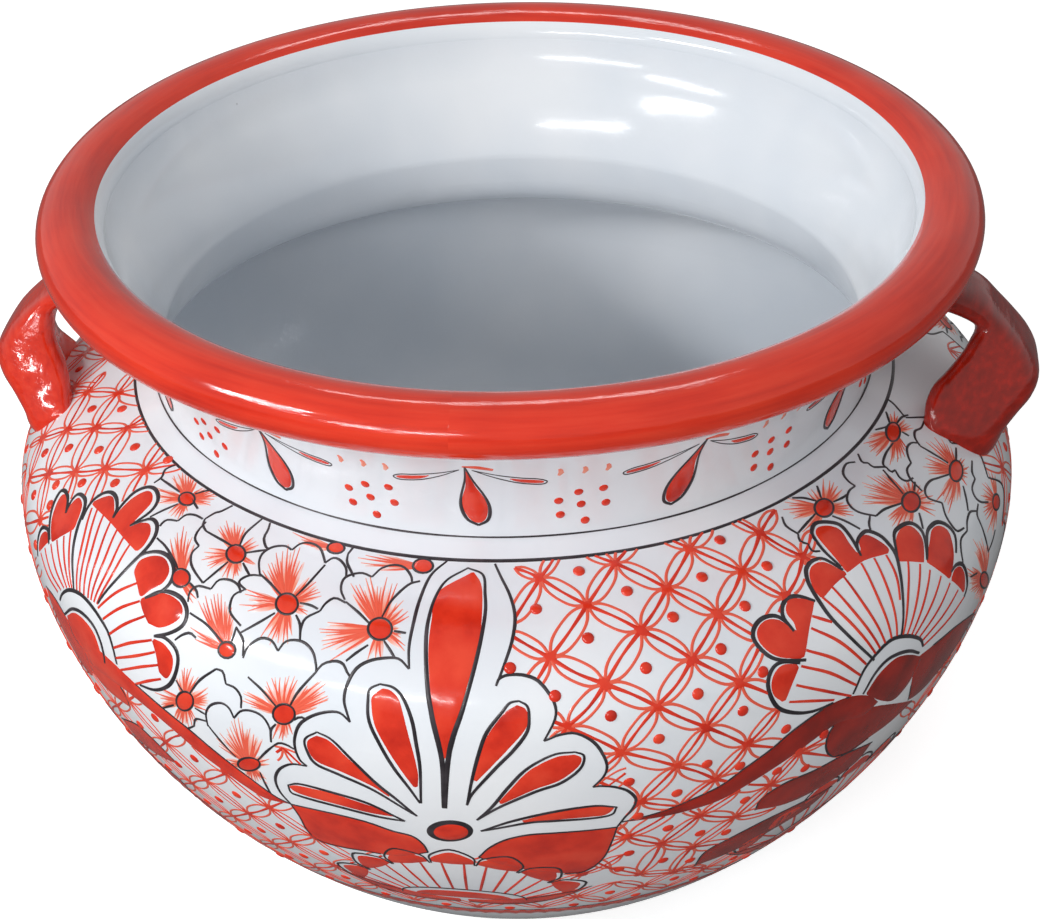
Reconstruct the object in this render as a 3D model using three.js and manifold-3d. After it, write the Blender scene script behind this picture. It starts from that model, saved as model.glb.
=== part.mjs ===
// A wide glazed ceramic planter with a rolled rim and two strap handles.
// Millimetres, +Z up. The origin is the middle of the base, on the surface the pot stands on.
// The handles lie on the X axis. Each piece of clay is one closed solid: a foot ring, a floor
// slab with a drain hole, the lower bowl, the shoulder, the neck, the rolled rim and two handles.
import * as THREE from 'three';
import { mergeVertices } from 'three/addons/utils/BufferGeometryUtils.js';
import Module from 'manifold-3d';

// Heights, each measured from the top of the one before it.
const FOOT_HEIGHT = 10;
const BOWL_HEIGHT = 196;
const SHOULDER_HEIGHT = 60.5;
const LEDGE_HEIGHT = 5.5;
const NECK_HEIGHT = 75;

// Outside radii, from the foot up.
const FOOT_RADIUS = 108;
const BASE_RADIUS = 124;
const BELLY_RADIUS = 243;
const SHOULDER_RADIUS = 183;
const NECK_RADIUS = 173;
const RIM_RADIUS = 220;

// How full the curves are: 2 is an ellipse, and more is squarer.
const BOWL_FULLNESS = 1.67;
const SHOULDER_FULLNESS = 2.75;

// Walls and sections.
const WALL = 10;
const NECK_WALL = 8.5;
const NECK_STRAIGHT = 33;
const RIM_ROLL_WIDTH = 31.4;
const RIM_ROLL_HEIGHT = 26.2;
const FOOT_WIDTH = 20;
const FOOT_CHAMFER = 2.5;
const FLOOR_THICKNESS = 12;
const FLOOR_SEAT = 4;
const DRAIN_RADIUS = 12;

// Handles. The reach is how far the strap stands out past the belly, and the front wing of its
// foot leans in towards the neck and up.
const HANDLE_REACH = 8;
const HANDLE_TOP_WIDTH = 40;
const HANDLE_FOOT_WIDTH = 90;
const HANDLE_TOP_THICKNESS = 12;
const HANDLE_BULGE_THICKNESS = 24;
const HANDLE_EDGE_FULLNESS = 3;
const HANDLE_WING_LEAN = 34;
const HANDLE_WING_RISE = 22;

// Where the strap's middle line runs: below the middle of the rim at its root in the neck, under
// the edge of the rim, at its crown, elbow, bulge and waist, and then out from the neck at its foot.
const HANDLE_ROOT_DROP = 29;
const HANDLE_EDGE_DROP = 43;
const HANDLE_CROWN_DROP = 55;
const HANDLE_ELBOW_DROP = 65;
const HANDLE_BULGE_DROP = 79;
const HANDLE_WAIST_DROP = 92;
const HANDLE_FOOT_REACH = 45;

// The clearance left at each seam between two pieces.
const SEAM = 0.3;

// Facets: around the pot, along each curve, and on the handles.
const TURNS = 60;
const CURVE_STEPS = 8;
const NECK_STEPS = 5;
const ROLL_STEPS = 16;
const HANDLE_SIDES = 18;
const HANDLE_RINGS = 18;

// Levels that follow from the heights.
const bellyZ = FOOT_HEIGHT + BOWL_HEIGHT;
const shoulderZ = bellyZ + SHOULDER_HEIGHT;
const neckZ = shoulderZ + LEDGE_HEIGHT;
const rimZ = neckZ + NECK_HEIGHT;
const rollRadius = RIM_RADIUS - RIM_ROLL_WIDTH / 2;

const wasm = await Module();
wasm.setup();

const whiteGlaze = new THREE.MeshStandardMaterial({ color: 0xe9edf0, roughness: 0.18, metalness: 0 });
const redGlaze = new THREE.MeshStandardMaterial({ color: 0xd9432b, roughness: 0.16, metalness: 0 });

// Points from the belly towards an end point, on a superellipse centred on the pot's axis.
function fullCurve(endRadius, endZ, fullness) {
  const power = 2 / fullness;
  const endAngle = Math.acos((endRadius / BELLY_RADIUS) ** (1 / power));
  const rise = (endZ - bellyZ) / Math.sin(endAngle) ** power;
  const points = [];
  for (let i = 0; i <= CURVE_STEPS; i++) {
    const angle = (endAngle * i) / CURVE_STEPS;
    const radius = BELLY_RADIUS * Math.cos(angle) ** power;
    points.push(new THREE.Vector2(radius, bellyZ + rise * Math.sin(angle) ** power));
  }
  return points;
}

// The same line moved to its right, seen along the line's direction; left if the distance is negative.
function moveSideways(points, distance) {
  return points.map((point, i) => {
    const before = points[Math.max(i - 1, 0)];
    const after = points[Math.min(i + 1, points.length - 1)];
    const along = after.clone().sub(before).normalize();
    return new THREE.Vector2(point.x + along.y * distance, point.y - along.x * distance);
  });
}

// A closed outline turned about the pot's axis. The outline runs anticlockwise in radius and height.
function turn(outline) {
  const geometry = new THREE.LatheGeometry([...outline, outline[0]], TURNS);
  geometry.rotateX(Math.PI / 2);
  return geometry;
}

function toSolid(geometry) {
  const bare = geometry.clone();
  bare.deleteAttribute('normal');
  bare.deleteAttribute('uv');
  const merged = mergeVertices(bare, 1e-4);
  return new wasm.Manifold(new wasm.Mesh({
    numProp: 3,
    vertProperties: new Float32Array(merged.attributes.position.array),
    triVerts: new Uint32Array(merged.index.array),
  }));
}

function toGeometry(solid) {
  const mesh = solid.getMesh();
  const geometry = new THREE.BufferGeometry();
  geometry.setAttribute('position', new THREE.BufferAttribute(new Float32Array(mesh.vertProperties), 3));
  geometry.setIndex(new THREE.BufferAttribute(new Uint32Array(mesh.triVerts), 1));
  geometry.computeVertexNormals();
  return geometry;
}

// The outside of the pot in three stretches, each from bottom to top.
const bowlLine = fullCurve(BASE_RADIUS, FOOT_HEIGHT, BOWL_FULLNESS).reverse();
const shoulderLine = fullCurve(SHOULDER_RADIUS, shoulderZ, SHOULDER_FULLNESS);
const neckLine = new THREE.QuadraticBezierCurve(
  new THREE.Vector2(NECK_RADIUS, neckZ),
  new THREE.Vector2(NECK_RADIUS, neckZ + NECK_STRAIGHT),
  new THREE.Vector2(rollRadius - RIM_ROLL_WIDTH / 8, rimZ - RIM_ROLL_HEIGHT / 4),
).getPoints(NECK_STEPS);

function footRing() {
  const inside = FOOT_RADIUS - FOOT_WIDTH;
  return turn([
    new THREE.Vector2(inside + FOOT_CHAMFER, 0),
    new THREE.Vector2(FOOT_RADIUS - FOOT_CHAMFER, 0),
    new THREE.Vector2(FOOT_RADIUS, FOOT_CHAMFER),
    new THREE.Vector2(FOOT_RADIUS, FOOT_HEIGHT),
    new THREE.Vector2(inside, FOOT_HEIGHT),
    new THREE.Vector2(inside, FOOT_CHAMFER),
  ]);
}

// The floor slab and the bottom of the bowl round it both stand on the foot ring.
const floorRadius = FOOT_RADIUS - FOOT_WIDTH + FLOOR_SEAT;
const floorBottom = FOOT_HEIGHT + SEAM;
const floorTop = floorBottom + FLOOR_THICKNESS;

function baseFloor() {
  return turn([
    new THREE.Vector2(DRAIN_RADIUS, floorBottom),
    new THREE.Vector2(floorRadius, floorBottom),
    new THREE.Vector2(floorRadius, floorTop),
    new THREE.Vector2(DRAIN_RADIUS, floorTop),
  ]);
}

function lowerBowl() {
  const top = bellyZ - SEAM / 2;
  const outside = bowlLine.map((point) => new THREE.Vector2(point.x, Math.min(point.y, top)));
  outside[0].y = floorBottom;
  const inside = moveSideways(bowlLine, -WALL).filter((point) => point.y > floorTop + WALL / 2);
  inside[inside.length - 1].y = top;
  const corner = inside[0].clone().lerp(new THREE.Vector2(BASE_RADIUS - WALL, floorTop), 0.5);
  return turn([
    ...outside,
    ...inside.reverse(),
    new THREE.Vector2(corner.x, floorTop),
    new THREE.Vector2(floorRadius + SEAM, floorTop),
    new THREE.Vector2(floorRadius + SEAM, floorBottom),
  ]);
}

function shoulder() {
  const bottom = bellyZ + SEAM / 2;
  const top = neckZ - SEAM / 2;
  const outside = shoulderLine.map((point) => new THREE.Vector2(point.x, Math.max(point.y, bottom)));
  const inside = moveSideways(shoulderLine, -WALL);
  inside[0].y = bottom;
  return turn([
    ...outside,
    new THREE.Vector2(NECK_RADIUS, top),
    new THREE.Vector2(NECK_RADIUS - NECK_WALL, top),
    ...inside.reverse(),
  ]);
}

// An ellipse round the middle of the roll, grown by a margin.
function rollOutline(margin) {
  const points = [];
  for (let i = 0; i < ROLL_STEPS; i++) {
    const angle = (2 * Math.PI * i) / ROLL_STEPS;
    const across = (RIM_ROLL_WIDTH / 2 + margin) * Math.cos(angle);
    const up = (RIM_ROLL_HEIGHT / 2 + margin) * Math.sin(angle);
    points.push(new THREE.Vector2(rollRadius + across, rimZ + up));
  }
  return points;
}

function rimRoll() {
  return turn(rollOutline(0));
}

// The neck runs up into the roll and is cut by it, so the two meet along one seam.
function neckCollar() {
  const bottom = neckZ + SEAM / 2;
  const outside = neckLine.map((point) => point.clone());
  const inside = moveSideways(neckLine, -NECK_WALL);
  outside[0].y = bottom;
  inside[0].y = bottom;
  const blank = toSolid(turn([...outside, ...inside.reverse()]));
  return toGeometry(blank.subtract(toSolid(turn(rollOutline(SEAM)))));
}

// The whole pot without its hollow, grown by the seam, which cuts the handles to fit it.
function handleCutter() {
  const axis = (z) => new THREE.Vector2(0, z);
  const line = [...bowlLine, ...shoulderLine.slice(1), ...neckLine];
  const grown = moveSideways(line, SEAM);
  const outline = [axis(FOOT_HEIGHT), ...grown, axis(grown[grown.length - 1].y)];
  return toSolid(turn(outline)).add(toSolid(turn(rollOutline(SEAM))));
}

// The point of the shoulder's surface at a radius, and the way it faces.
function onShoulder(radius) {
  const flatness = (r) => (1 - (r / BELLY_RADIUS) ** SHOULDER_FULLNESS) ** (1 / SHOULDER_FULLNESS);
  const height = (r) => bellyZ + (SHOULDER_HEIGHT * flatness(r)) / flatness(SHOULDER_RADIUS);
  const slope = height(radius + SEAM) - height(radius - SEAM);
  const facing = new THREE.Vector2(-slope, 2 * SEAM).normalize();
  return { place: new THREE.Vector2(radius, height(radius)), facing };
}

// The middle line of the right handle, from inside the neck out to the crown and down into the
// shoulder, as radius and height; which way the outside of the strap faces there, in degrees above
// level; and how far the strap has thickened, widened and grown its wing.
const foot = onShoulder(NECK_RADIUS + HANDLE_FOOT_REACH);
const footEnd = foot.place.clone().addScaledVector(foot.facing, -WALL);
const outside = BELLY_RADIUS + HANDLE_REACH;
const bulgeRadius = outside - HANDLE_BULGE_THICKNESS / 2;
const crownRadius = outside - 2 * HANDLE_TOP_THICKNESS;
const edgeRadius = RIM_RADIUS - HANDLE_TOP_THICKNESS / 2;
const elbowRadius = (crownRadius + bulgeRadius) / 2;
const waistRadius = (foot.place.x + bulgeRadius) / 2;
const handleLine = [
  { at: [NECK_RADIUS + NECK_WALL / 2, rimZ - HANDLE_ROOT_DROP], facing: 80, thick: 0.2, wide: 0, wing: 0 },
  { at: [edgeRadius, rimZ - HANDLE_EDGE_DROP], facing: 66, thick: 0, wide: 0, wing: 0 },
  { at: [crownRadius, rimZ - HANDLE_CROWN_DROP], facing: 36, thick: 0.1, wide: 0.05, wing: 0.1 },
  { at: [elbowRadius, rimZ - HANDLE_ELBOW_DROP], facing: 18, thick: 0.5, wide: 0.15, wing: 0.4 },
  { at: [bulgeRadius, rimZ - HANDLE_BULGE_DROP], facing: 4, thick: 1, wide: 0.45, wing: 0.8 },
  { at: [waistRadius, rimZ - HANDLE_WAIST_DROP], facing: -4, thick: 0.5, wide: 0.85, wing: 1 },
  { at: [foot.place.x, foot.place.y], facing: -24, thick: 0.1, wide: 1, wing: 0.95 },
  { at: [footEnd.x, footEnd.y], facing: -40, thick: 0, wide: 1, wing: 0.8 },
];

// A value of the handle's line part of the way along it, from even steps between its points.
function valueAlong(along, read) {
  const step = THREE.MathUtils.clamp(along, 0, 1) * (handleLine.length - 1);
  const before = Math.min(Math.floor(step), handleLine.length - 2);
  return THREE.MathUtils.lerp(read(handleLine[before]), read(handleLine[before + 1]), step - before);
}

// A tall cylinder whose rings are laid along the middle line as rounded strap sections.
function strapHandle(side) {
  const middle = new THREE.CatmullRomCurve3(
    handleLine.map(({ at }) => new THREE.Vector3(at[0], 0, at[1])),
    false,
    'catmullrom',
    0.5,
  );
  const geometry = new THREE.CylinderGeometry(1, 1, 1, HANDLE_SIDES, HANDLE_RINGS);
  const position = geometry.attributes.position;
  for (let i = 0; i < position.count; i++) {
    const along = 0.5 - position.getY(i);
    const wide = valueAlong(along, (point) => point.wide);
    const thick = valueAlong(along, (point) => point.thick);
    const wing = valueAlong(along, (point) => point.wing);
    const facing = THREE.MathUtils.degToRad(valueAlong(along, (point) => point.facing));
    const halfWidth = THREE.MathUtils.lerp(HANDLE_TOP_WIDTH, HANDLE_FOOT_WIDTH, wide) / 2;
    const halfDepth = THREE.MathUtils.lerp(HANDLE_TOP_THICKNESS, HANDLE_BULGE_THICKNESS, thick) / 2;
    const radius = Math.hypot(position.getX(i), position.getZ(i));
    const angle = Math.atan2(position.getZ(i), position.getX(i));
    const across = radius * squared(Math.sin(angle));
    const outward = radius * squared(Math.cos(angle));
    const frontInner = (Math.max(across, 0) * Math.max(radius - outward, 0)) / 2;
    const place = middle.getPoint(along);
    const reach = place.x + outward * halfDepth * Math.cos(facing) - frontInner * wing * HANDLE_WING_LEAN;
    const height = place.z + outward * halfDepth * Math.sin(facing) + frontInner * wing * HANDLE_WING_RISE;
    position.setXYZ(i, reach * side, -across * halfWidth, height);
  }
  if (side < 0) {
    flip(geometry);
  }
  return toGeometry(toSolid(geometry).subtract(handleCutter()));
}

// Turns every face of a mirrored shape the right way out again.
function flip(geometry) {
  const index = geometry.index.array;
  for (let i = 0; i < index.length; i += 3) {
    [index[i], index[i + 1]] = [index[i + 1], index[i]];
  }
}

// Turns a circle's sine or cosine into that of a squarer, softly cornered section.
function squared(value) {
  return Math.sign(value) * Math.abs(value) ** (2 / HANDLE_EDGE_FULLNESS);
}

const planter = new THREE.Group();

function addPiece(name, geometry, material) {
  const mesh = new THREE.Mesh(geometry, material);
  mesh.name = name;
  planter.add(mesh);
}

addPiece('foot_ring', footRing(), whiteGlaze);
addPiece('base_floor', baseFloor(), whiteGlaze);
addPiece('lower_bowl', lowerBowl(), whiteGlaze);
addPiece('shoulder', shoulder(), whiteGlaze);
addPiece('neck_collar', neckCollar(), whiteGlaze);
addPiece('rim_roll', rimRoll(), redGlaze);
addPiece('handle_right', strapHandle(1), redGlaze);
addPiece('handle_left', strapHandle(-1), redGlaze);

export default planter;
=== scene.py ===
# A wide majolica-style planter: white glaze, vermilion rim and handles, hand-painted ornament.
import math

import bpy
import bmesh
import numpy as np
from mathutils import Matrix, Vector
from mathutils.geometry import delaunay_2d_cdt


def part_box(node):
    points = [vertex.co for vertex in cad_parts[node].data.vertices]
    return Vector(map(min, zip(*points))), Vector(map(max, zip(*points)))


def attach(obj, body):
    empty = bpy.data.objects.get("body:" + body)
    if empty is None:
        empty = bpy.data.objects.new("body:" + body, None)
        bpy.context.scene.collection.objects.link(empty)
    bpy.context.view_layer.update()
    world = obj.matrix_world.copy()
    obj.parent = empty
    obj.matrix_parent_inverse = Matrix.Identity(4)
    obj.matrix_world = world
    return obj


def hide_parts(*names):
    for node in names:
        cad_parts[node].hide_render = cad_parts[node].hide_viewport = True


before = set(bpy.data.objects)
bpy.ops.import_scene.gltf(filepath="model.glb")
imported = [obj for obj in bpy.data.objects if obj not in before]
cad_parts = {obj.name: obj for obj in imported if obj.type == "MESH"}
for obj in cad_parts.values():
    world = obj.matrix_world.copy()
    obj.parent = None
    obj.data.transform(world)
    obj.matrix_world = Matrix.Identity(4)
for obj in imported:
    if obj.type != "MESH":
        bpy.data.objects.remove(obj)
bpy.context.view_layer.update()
bpy.ops.object.select_all(action="DESELECT")

MM = 0.001

# The pot's outside, in millimetres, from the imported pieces.
foot_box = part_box("foot_ring")
bowl_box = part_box("lower_bowl")
shoulder_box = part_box("shoulder")
rim_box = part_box("rim_roll")
FOOT_RADIUS = foot_box[1].x / MM
FOOT_HEIGHT = foot_box[1].z / MM
BELLY_RADIUS = bowl_box[1].x / MM
BELLY_Z = (bowl_box[1].z + shoulder_box[0].z) / 2 / MM
NECK_Z = shoulder_box[1].z / MM
RIM_RADIUS = rim_box[1].x / MM
ROLL_HEIGHT = (rim_box[1].z - rim_box[0].z) / MM
RIM_Z = (rim_box[1].z + rim_box[0].z) / 2 / MM
ROLL_WIDTH = 31.4
LEDGE_HEIGHT = 5.5
BASE_RADIUS = 124
SHOULDER_RADIUS = 183
SHOULDER_Z = NECK_Z - LEDGE_HEIGHT
NECK_RADIUS = 173
NECK_STRAIGHT = 33
BOWL_FULLNESS = 1.67
SHOULDER_FULLNESS = 2.75
WALL = 10
NECK_WALL = 8.5
ROLL_RADIUS = RIM_RADIUS - ROLL_WIDTH / 2

# The photograph's frame, and the lens and place of its camera.
PHOTO_WIDTH = 1042
PHOTO_HEIGHT = 919
FOCAL_PIXELS = 2485
SENSOR = 36
CAMERA_TURN = math.radians(7)
CAMERA_DISTANCE = 1050
CAMERA_ABOVE_RIM = 520.5
PITCH = math.radians(32.4)
YAW = math.radians(0.129)
ROLL = -0.0242

TURNS = 256
CURVE_STEPS = 48
CREASE_DEGREES = 38


def camera_axes():
    """The camera's right, up and forward directions, with the rim's middle straight ahead."""
    forward = Vector((math.sin(YAW) * math.cos(PITCH), math.cos(YAW) * math.cos(PITCH), -math.sin(PITCH)))
    right = forward.cross(Vector((0, 0, 1))).normalized()
    up = right.cross(forward)
    tilted_right = right * math.cos(ROLL) + up * math.sin(ROLL)
    tilted_up = up * math.cos(ROLL) - right * math.sin(ROLL)
    turn = Matrix.Rotation(CAMERA_TURN, 3, "Z")
    return turn @ tilted_right, turn @ tilted_up, turn @ forward


camera_right, camera_up, camera_forward = camera_axes()
camera_place = Vector((
    math.sin(CAMERA_TURN) * CAMERA_DISTANCE,
    -math.cos(CAMERA_TURN) * CAMERA_DISTANCE,
    RIM_Z + CAMERA_ABOVE_RIM,
))


def add_camera():
    data = bpy.data.cameras.new("camera")
    data.sensor_width = SENSOR
    data.lens = SENSOR * FOCAL_PIXELS / PHOTO_WIDTH
    data.clip_start = 0.05
    data.clip_end = 50
    camera = bpy.data.objects.new("camera", data)
    bpy.context.scene.collection.objects.link(camera)
    axes = Matrix((camera_right, camera_up, -camera_forward)).transposed()
    camera.matrix_world = Matrix.Translation(camera_place * MM) @ axes.to_4x4()
    bpy.context.scene.camera = camera


# Outlines in radius and height, millimetres

def full_curve(end_radius, end_z, fullness):
    """The wall from the widest line to an end, rounder than an ellipse where the fullness is above 2."""
    power = 2 / fullness
    end_angle = math.acos((end_radius / BELLY_RADIUS) ** (1 / power))
    rise = (end_z - BELLY_Z) / math.sin(end_angle) ** power
    angles = np.linspace(0, end_angle, CURVE_STEPS + 1)
    return np.stack([BELLY_RADIUS * np.cos(angles) ** power, BELLY_Z + rise * np.sin(angles) ** power], 1)


def bent_line(start, middle, end, steps):
    t = np.linspace(0, 1, steps + 1)[:, None]
    start, middle, end = np.array(start), np.array(middle), np.array(end)
    return (1 - t) ** 2 * start + 2 * t * (1 - t) * middle + t ** 2 * end


def move_sideways(line, distance):
    along = np.gradient(line, axis=0)
    along /= np.hypot(along[:, 0], along[:, 1])[:, None]
    return np.stack([line[:, 0] + along[:, 1] * distance, line[:, 1] - along[:, 0] * distance], 1)


bowl_line = full_curve(BASE_RADIUS, FOOT_HEIGHT, BOWL_FULLNESS)[::-1]
shoulder_line = full_curve(SHOULDER_RADIUS, SHOULDER_Z, SHOULDER_FULLNESS)
ledge_line = np.linspace((SHOULDER_RADIUS, SHOULDER_Z), (NECK_RADIUS, NECK_Z), 5)
neck_line = bent_line(
    (NECK_RADIUS, NECK_Z),
    (NECK_RADIUS, NECK_Z + NECK_STRAIGHT),
    (ROLL_RADIUS - ROLL_WIDTH / 8, RIM_Z - ROLL_HEIGHT / 4),
    CURVE_STEPS,
)


def smooth_through(values, count):
    """Even steps along a Catmull-Rom curve through the rows of values."""
    values = np.array(values, float)
    padded = np.vstack([2 * values[0] - values[1], values, 2 * values[-1] - values[-2]])
    at = np.linspace(0, len(values) - 1, count)
    span = np.minimum(at.astype(int), len(values) - 2)
    t = (at - span)[:, None]
    a, b, c, d = (padded[span + i] for i in range(4))
    squared, cubed = 2 * a - 5 * b + 4 * c - d, 3 * b - a - 3 * c + d
    return 0.5 * (2 * b + (c - a) * t + squared * t ** 2 + cubed * t ** 3)


def new_mesh_object(name, points, faces, edges=()):
    mesh = bpy.data.meshes.new(name)
    mesh.from_pydata([tuple(p) for p in points], edges, faces)
    mesh.update()
    piece = bpy.data.objects.new(name, mesh)
    bpy.context.scene.collection.objects.link(piece)
    return piece


def select_only(piece):
    bpy.ops.object.select_all(action="DESELECT")
    bpy.context.view_layer.objects.active = piece
    piece.select_set(True)


def spun(name, outline, turns=TURNS):
    """A closed outline, anticlockwise in radius and height, spun about the pot's axis."""
    points = [(r * MM, 0, z * MM) for r, z in outline]
    count = len(points)
    piece = new_mesh_object(name, points, [], [(i, (i + 1) % count) for i in range(count)])
    select_only(piece)
    bpy.ops.object.mode_set(mode="EDIT")
    bpy.ops.mesh.select_all(action="SELECT")
    bpy.ops.mesh.spin(steps=turns, angle=2 * math.pi, center=(0, 0, 0), axis=(0, 0, 1))
    bpy.ops.mesh.select_all(action="SELECT")
    bpy.ops.mesh.remove_doubles(threshold=1e-6)
    bpy.ops.mesh.normals_make_consistent(inside=False)
    bpy.ops.object.mode_set(mode="OBJECT")
    bpy.ops.object.shade_smooth_by_angle(angle=math.radians(CREASE_DEGREES))
    return piece


def finish_piece(piece, material, slot, *nodes):
    """Give a piece its material, its place on the body and the CAD nodes it stands for. The slot is not
    used.
    """
    piece.data.materials.append(material)
    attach(piece, "root")
    if nodes:
        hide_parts(*nodes)
    return piece


# The painted wall: the pot's outside as one line, measured from the foot up, and where it faces.
wall_line = np.vstack([bowl_line, shoulder_line[1:], ledge_line[1:], neck_line[1:]])
wall_steps = np.hypot(*np.diff(wall_line, axis=0).T)
wall_run = np.concatenate([[0], np.cumsum(wall_steps)])
wall_along = np.gradient(wall_line, axis=0)
wall_along /= np.hypot(wall_along[:, 0], wall_along[:, 1])[:, None]
wall_facing = np.stack([wall_along[:, 1], -wall_along[:, 0]], 1)


def wall_radius(run):
    return np.interp(run, wall_run, wall_line[:, 0])


def run_at(z):
    return np.interp(z, wall_line[:, 1], wall_run)


def on_wall(turn, run, lift=0.0):
    """Points in millimetres at an angle round the pot and a length up its wall, lifted off it."""
    facing_out = np.interp(run, wall_run, wall_facing[:, 0])
    facing_up = np.interp(run, wall_run, wall_facing[:, 1])
    radius = wall_radius(run) + lift * facing_out
    z = np.interp(run, wall_run, wall_line[:, 1]) + lift * facing_up
    return np.stack([radius * np.sin(turn), -radius * np.cos(turn), z], -1)


SIGHT_NEAR = 700
SIGHT_FAR = 1500
SIGHT_STEPS = 1600


def seen(pixels):
    """Where the lines of sight through pixels of the photograph meet the wall: turn and run."""
    pixels = np.atleast_2d(np.array(pixels, float))
    right, up, forward = (np.array(v) for v in (camera_right, camera_up, camera_forward))
    across = (pixels[:, 0] - PHOTO_WIDTH / 2) / FOCAL_PIXELS
    down = (pixels[:, 1] - PHOTO_HEIGHT / 2) / FOCAL_PIXELS
    rays = forward + across[:, None] * right - down[:, None] * up
    rays /= np.linalg.norm(rays, axis=1)[:, None]
    distances = np.linspace(SIGHT_NEAR, SIGHT_FAR, SIGHT_STEPS)
    found = []
    for ray in rays:
        path = np.array(camera_place) + distances[:, None] * ray
        radius = np.hypot(path[:, 0], path[:, 1])
        wall = np.interp(path[:, 2], wall_line[:, 1], wall_line[:, 0], left=0, right=0)
        inside = radius < wall
        if inside.any():
            first = int(np.argmax(inside))
            before, after = (radius - wall)[first - 1], (radius - wall)[first]
            share = before / (before - after) if before > 0 else 1.0
            point = path[first - 1] + share * (path[first] - path[first - 1])
        else:
            point = path[int(np.argmin(radius - wall))]
        found.append((math.atan2(point[0], -point[1]), float(run_at(point[2]))))
    return np.array(found)


# Shader groups and materials

def linear(*screen):
    """A colour read off the object in screen values, as the shader wants it."""
    return tuple(((value / 255 + 0.055) / 1.055) ** 2.4 for value in screen) + (1,)


def add_node(tree, kind, inputs=(), **settings):
    """A node of one kind, each of its inputs set to a value or fed by a socket."""
    node = tree.nodes.new("ShaderNode" + kind)
    for name, value in settings.items():
        setattr(node, name, value)
    for key, value in dict(inputs).items():
        if isinstance(value, bpy.types.NodeSocket):
            tree.links.new(value, node.inputs[key])
        else:
            node.inputs[key].default_value = value
    return node


def calculate(tree, operation, *values, clamp=False):
    return add_node(tree, "Math", enumerate(values), operation=operation, use_clamp=clamp).outputs["Value"]


def noise(tree, scale, detail):
    place = add_node(tree, "TexCoord").outputs["Object"]
    return add_node(tree, "TexNoise", {"Vector": place, "Scale": scale, "Detail": detail}).outputs["Fac"]


def bump(tree, height, distance, strength=1.0, normal=None):
    inputs = {"Height": height, "Distance": distance, "Strength": strength}
    if normal is not None:
        inputs["Normal"] = normal
    return add_node(tree, "Bump", inputs).outputs["Normal"]


def ramp(tree, source, *stops):
    node = add_node(tree, "ValToRGB", {"Fac": source})
    elements = node.color_ramp.elements
    while len(elements) < len(stops):
        elements.new(0.5)
    for element, (position, color) in zip(elements, stops):
        element.position = position
        element.color = color
    return node.outputs["Color"]


def mix_color(tree, factor, first, second):
    return add_node(tree, "Mix", {0: factor, 6: first, 7: second}, data_type="RGBA").outputs[2]


PINHOLE_SIZE = {"From Min": 0.035, "From Max": 0.055, "To Min": 1, "To Max": 0}
PINHOLE_RARITY = 0.88


def glaze_group():
    """Slow waves and fine orange peel in a fired glaze, as a bump, and a mask of pinholes."""
    group = bpy.data.node_groups.new("fired_glaze_surface", "ShaderNodeTree")
    for name, value in (("Wave", 0.3), ("Peel", 0.05)):
        group.interface.new_socket(name, in_out="INPUT", socket_type="NodeSocketFloat").default_value = value
    group.interface.new_socket("Normal", in_out="OUTPUT", socket_type="NodeSocketVector")
    group.interface.new_socket("Speck", in_out="OUTPUT", socket_type="NodeSocketFloat")
    given = group.nodes.new("NodeGroupInput").outputs
    out = group.nodes.new("NodeGroupOutput").inputs
    slow = bump(group, noise(group, scale=22, detail=1.5), 0.004, given["Wave"])
    fine = bump(group, noise(group, scale=260, detail=2), 0.0004, given["Peel"], slow)
    place = add_node(group, "TexCoord").outputs["Object"]
    spots = add_node(group, "TexVoronoi", {"Vector": place, "Scale": 46, "Randomness": 1}).outputs
    small = add_node(group, "MapRange", {"Value": spots["Distance"], **PINHOLE_SIZE}).outputs["Result"]
    rare = calculate(group, "GREATER_THAN", spots["Color"], PINHOLE_RARITY)
    group.links.new(fine, out["Normal"])
    group.links.new(calculate(group, "MULTIPLY", small, rare), out["Speck"])
    return group


def streak_group():
    """Fine streaks that run round the pot's axis, as a thrown and brushed lip has them."""
    group = bpy.data.node_groups.new("round_streaks", "ShaderNodeTree")
    group.interface.new_socket("Streak", in_out="OUTPUT", socket_type="NodeSocketFloat")
    out = group.nodes.new("NodeGroupOutput").inputs
    place = add_node(group, "TexCoord").outputs["Object"]
    parts = add_node(group, "SeparateXYZ", {0: place}).outputs
    level = add_node(group, "VectorMath", {0: place, 1: (1, 1, 0)}, operation="MULTIPLY").outputs["Vector"]
    radius = add_node(group, "VectorMath", {0: level}, operation="LENGTH").outputs["Value"]
    turn = calculate(group, "ARCTAN2", parts["X"], parts["Y"])
    joined = add_node(group, "CombineXYZ", {"X": radius, "Y": parts["Z"], "Z": turn}).outputs["Vector"]
    drawn_out = add_node(group, "Mapping", {"Vector": joined, "Scale": (120, 120, 1.6)}).outputs["Vector"]
    streaks = add_node(group, "TexNoise", {"Vector": drawn_out, "Scale": 2.2, "Detail": 4}).outputs["Fac"]
    group.links.new(streaks, out["Streak"])
    return group


glaze_surface = glaze_group()
round_streaks = streak_group()


def new_material(name, roughness, coat):
    material = bpy.data.materials.new(name)
    material.use_nodes = True
    shader = material.node_tree.nodes["Principled BSDF"].inputs
    values = {"Roughness": roughness, "Coat Weight": coat, "Coat Roughness": 0.04, "IOR": 1.52}
    for key, value in values.items():
        shader[key].default_value = value
    return material, material.node_tree, shader


def add_glaze_surface(tree, shader, wave, peel):
    surface = add_node(tree, "Group", node_tree=glaze_surface)
    surface.inputs["Wave"].default_value = wave
    surface.inputs["Peel"].default_value = peel
    tree.links.new(surface.outputs["Normal"], shader["Normal"])
    return surface.outputs


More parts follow.
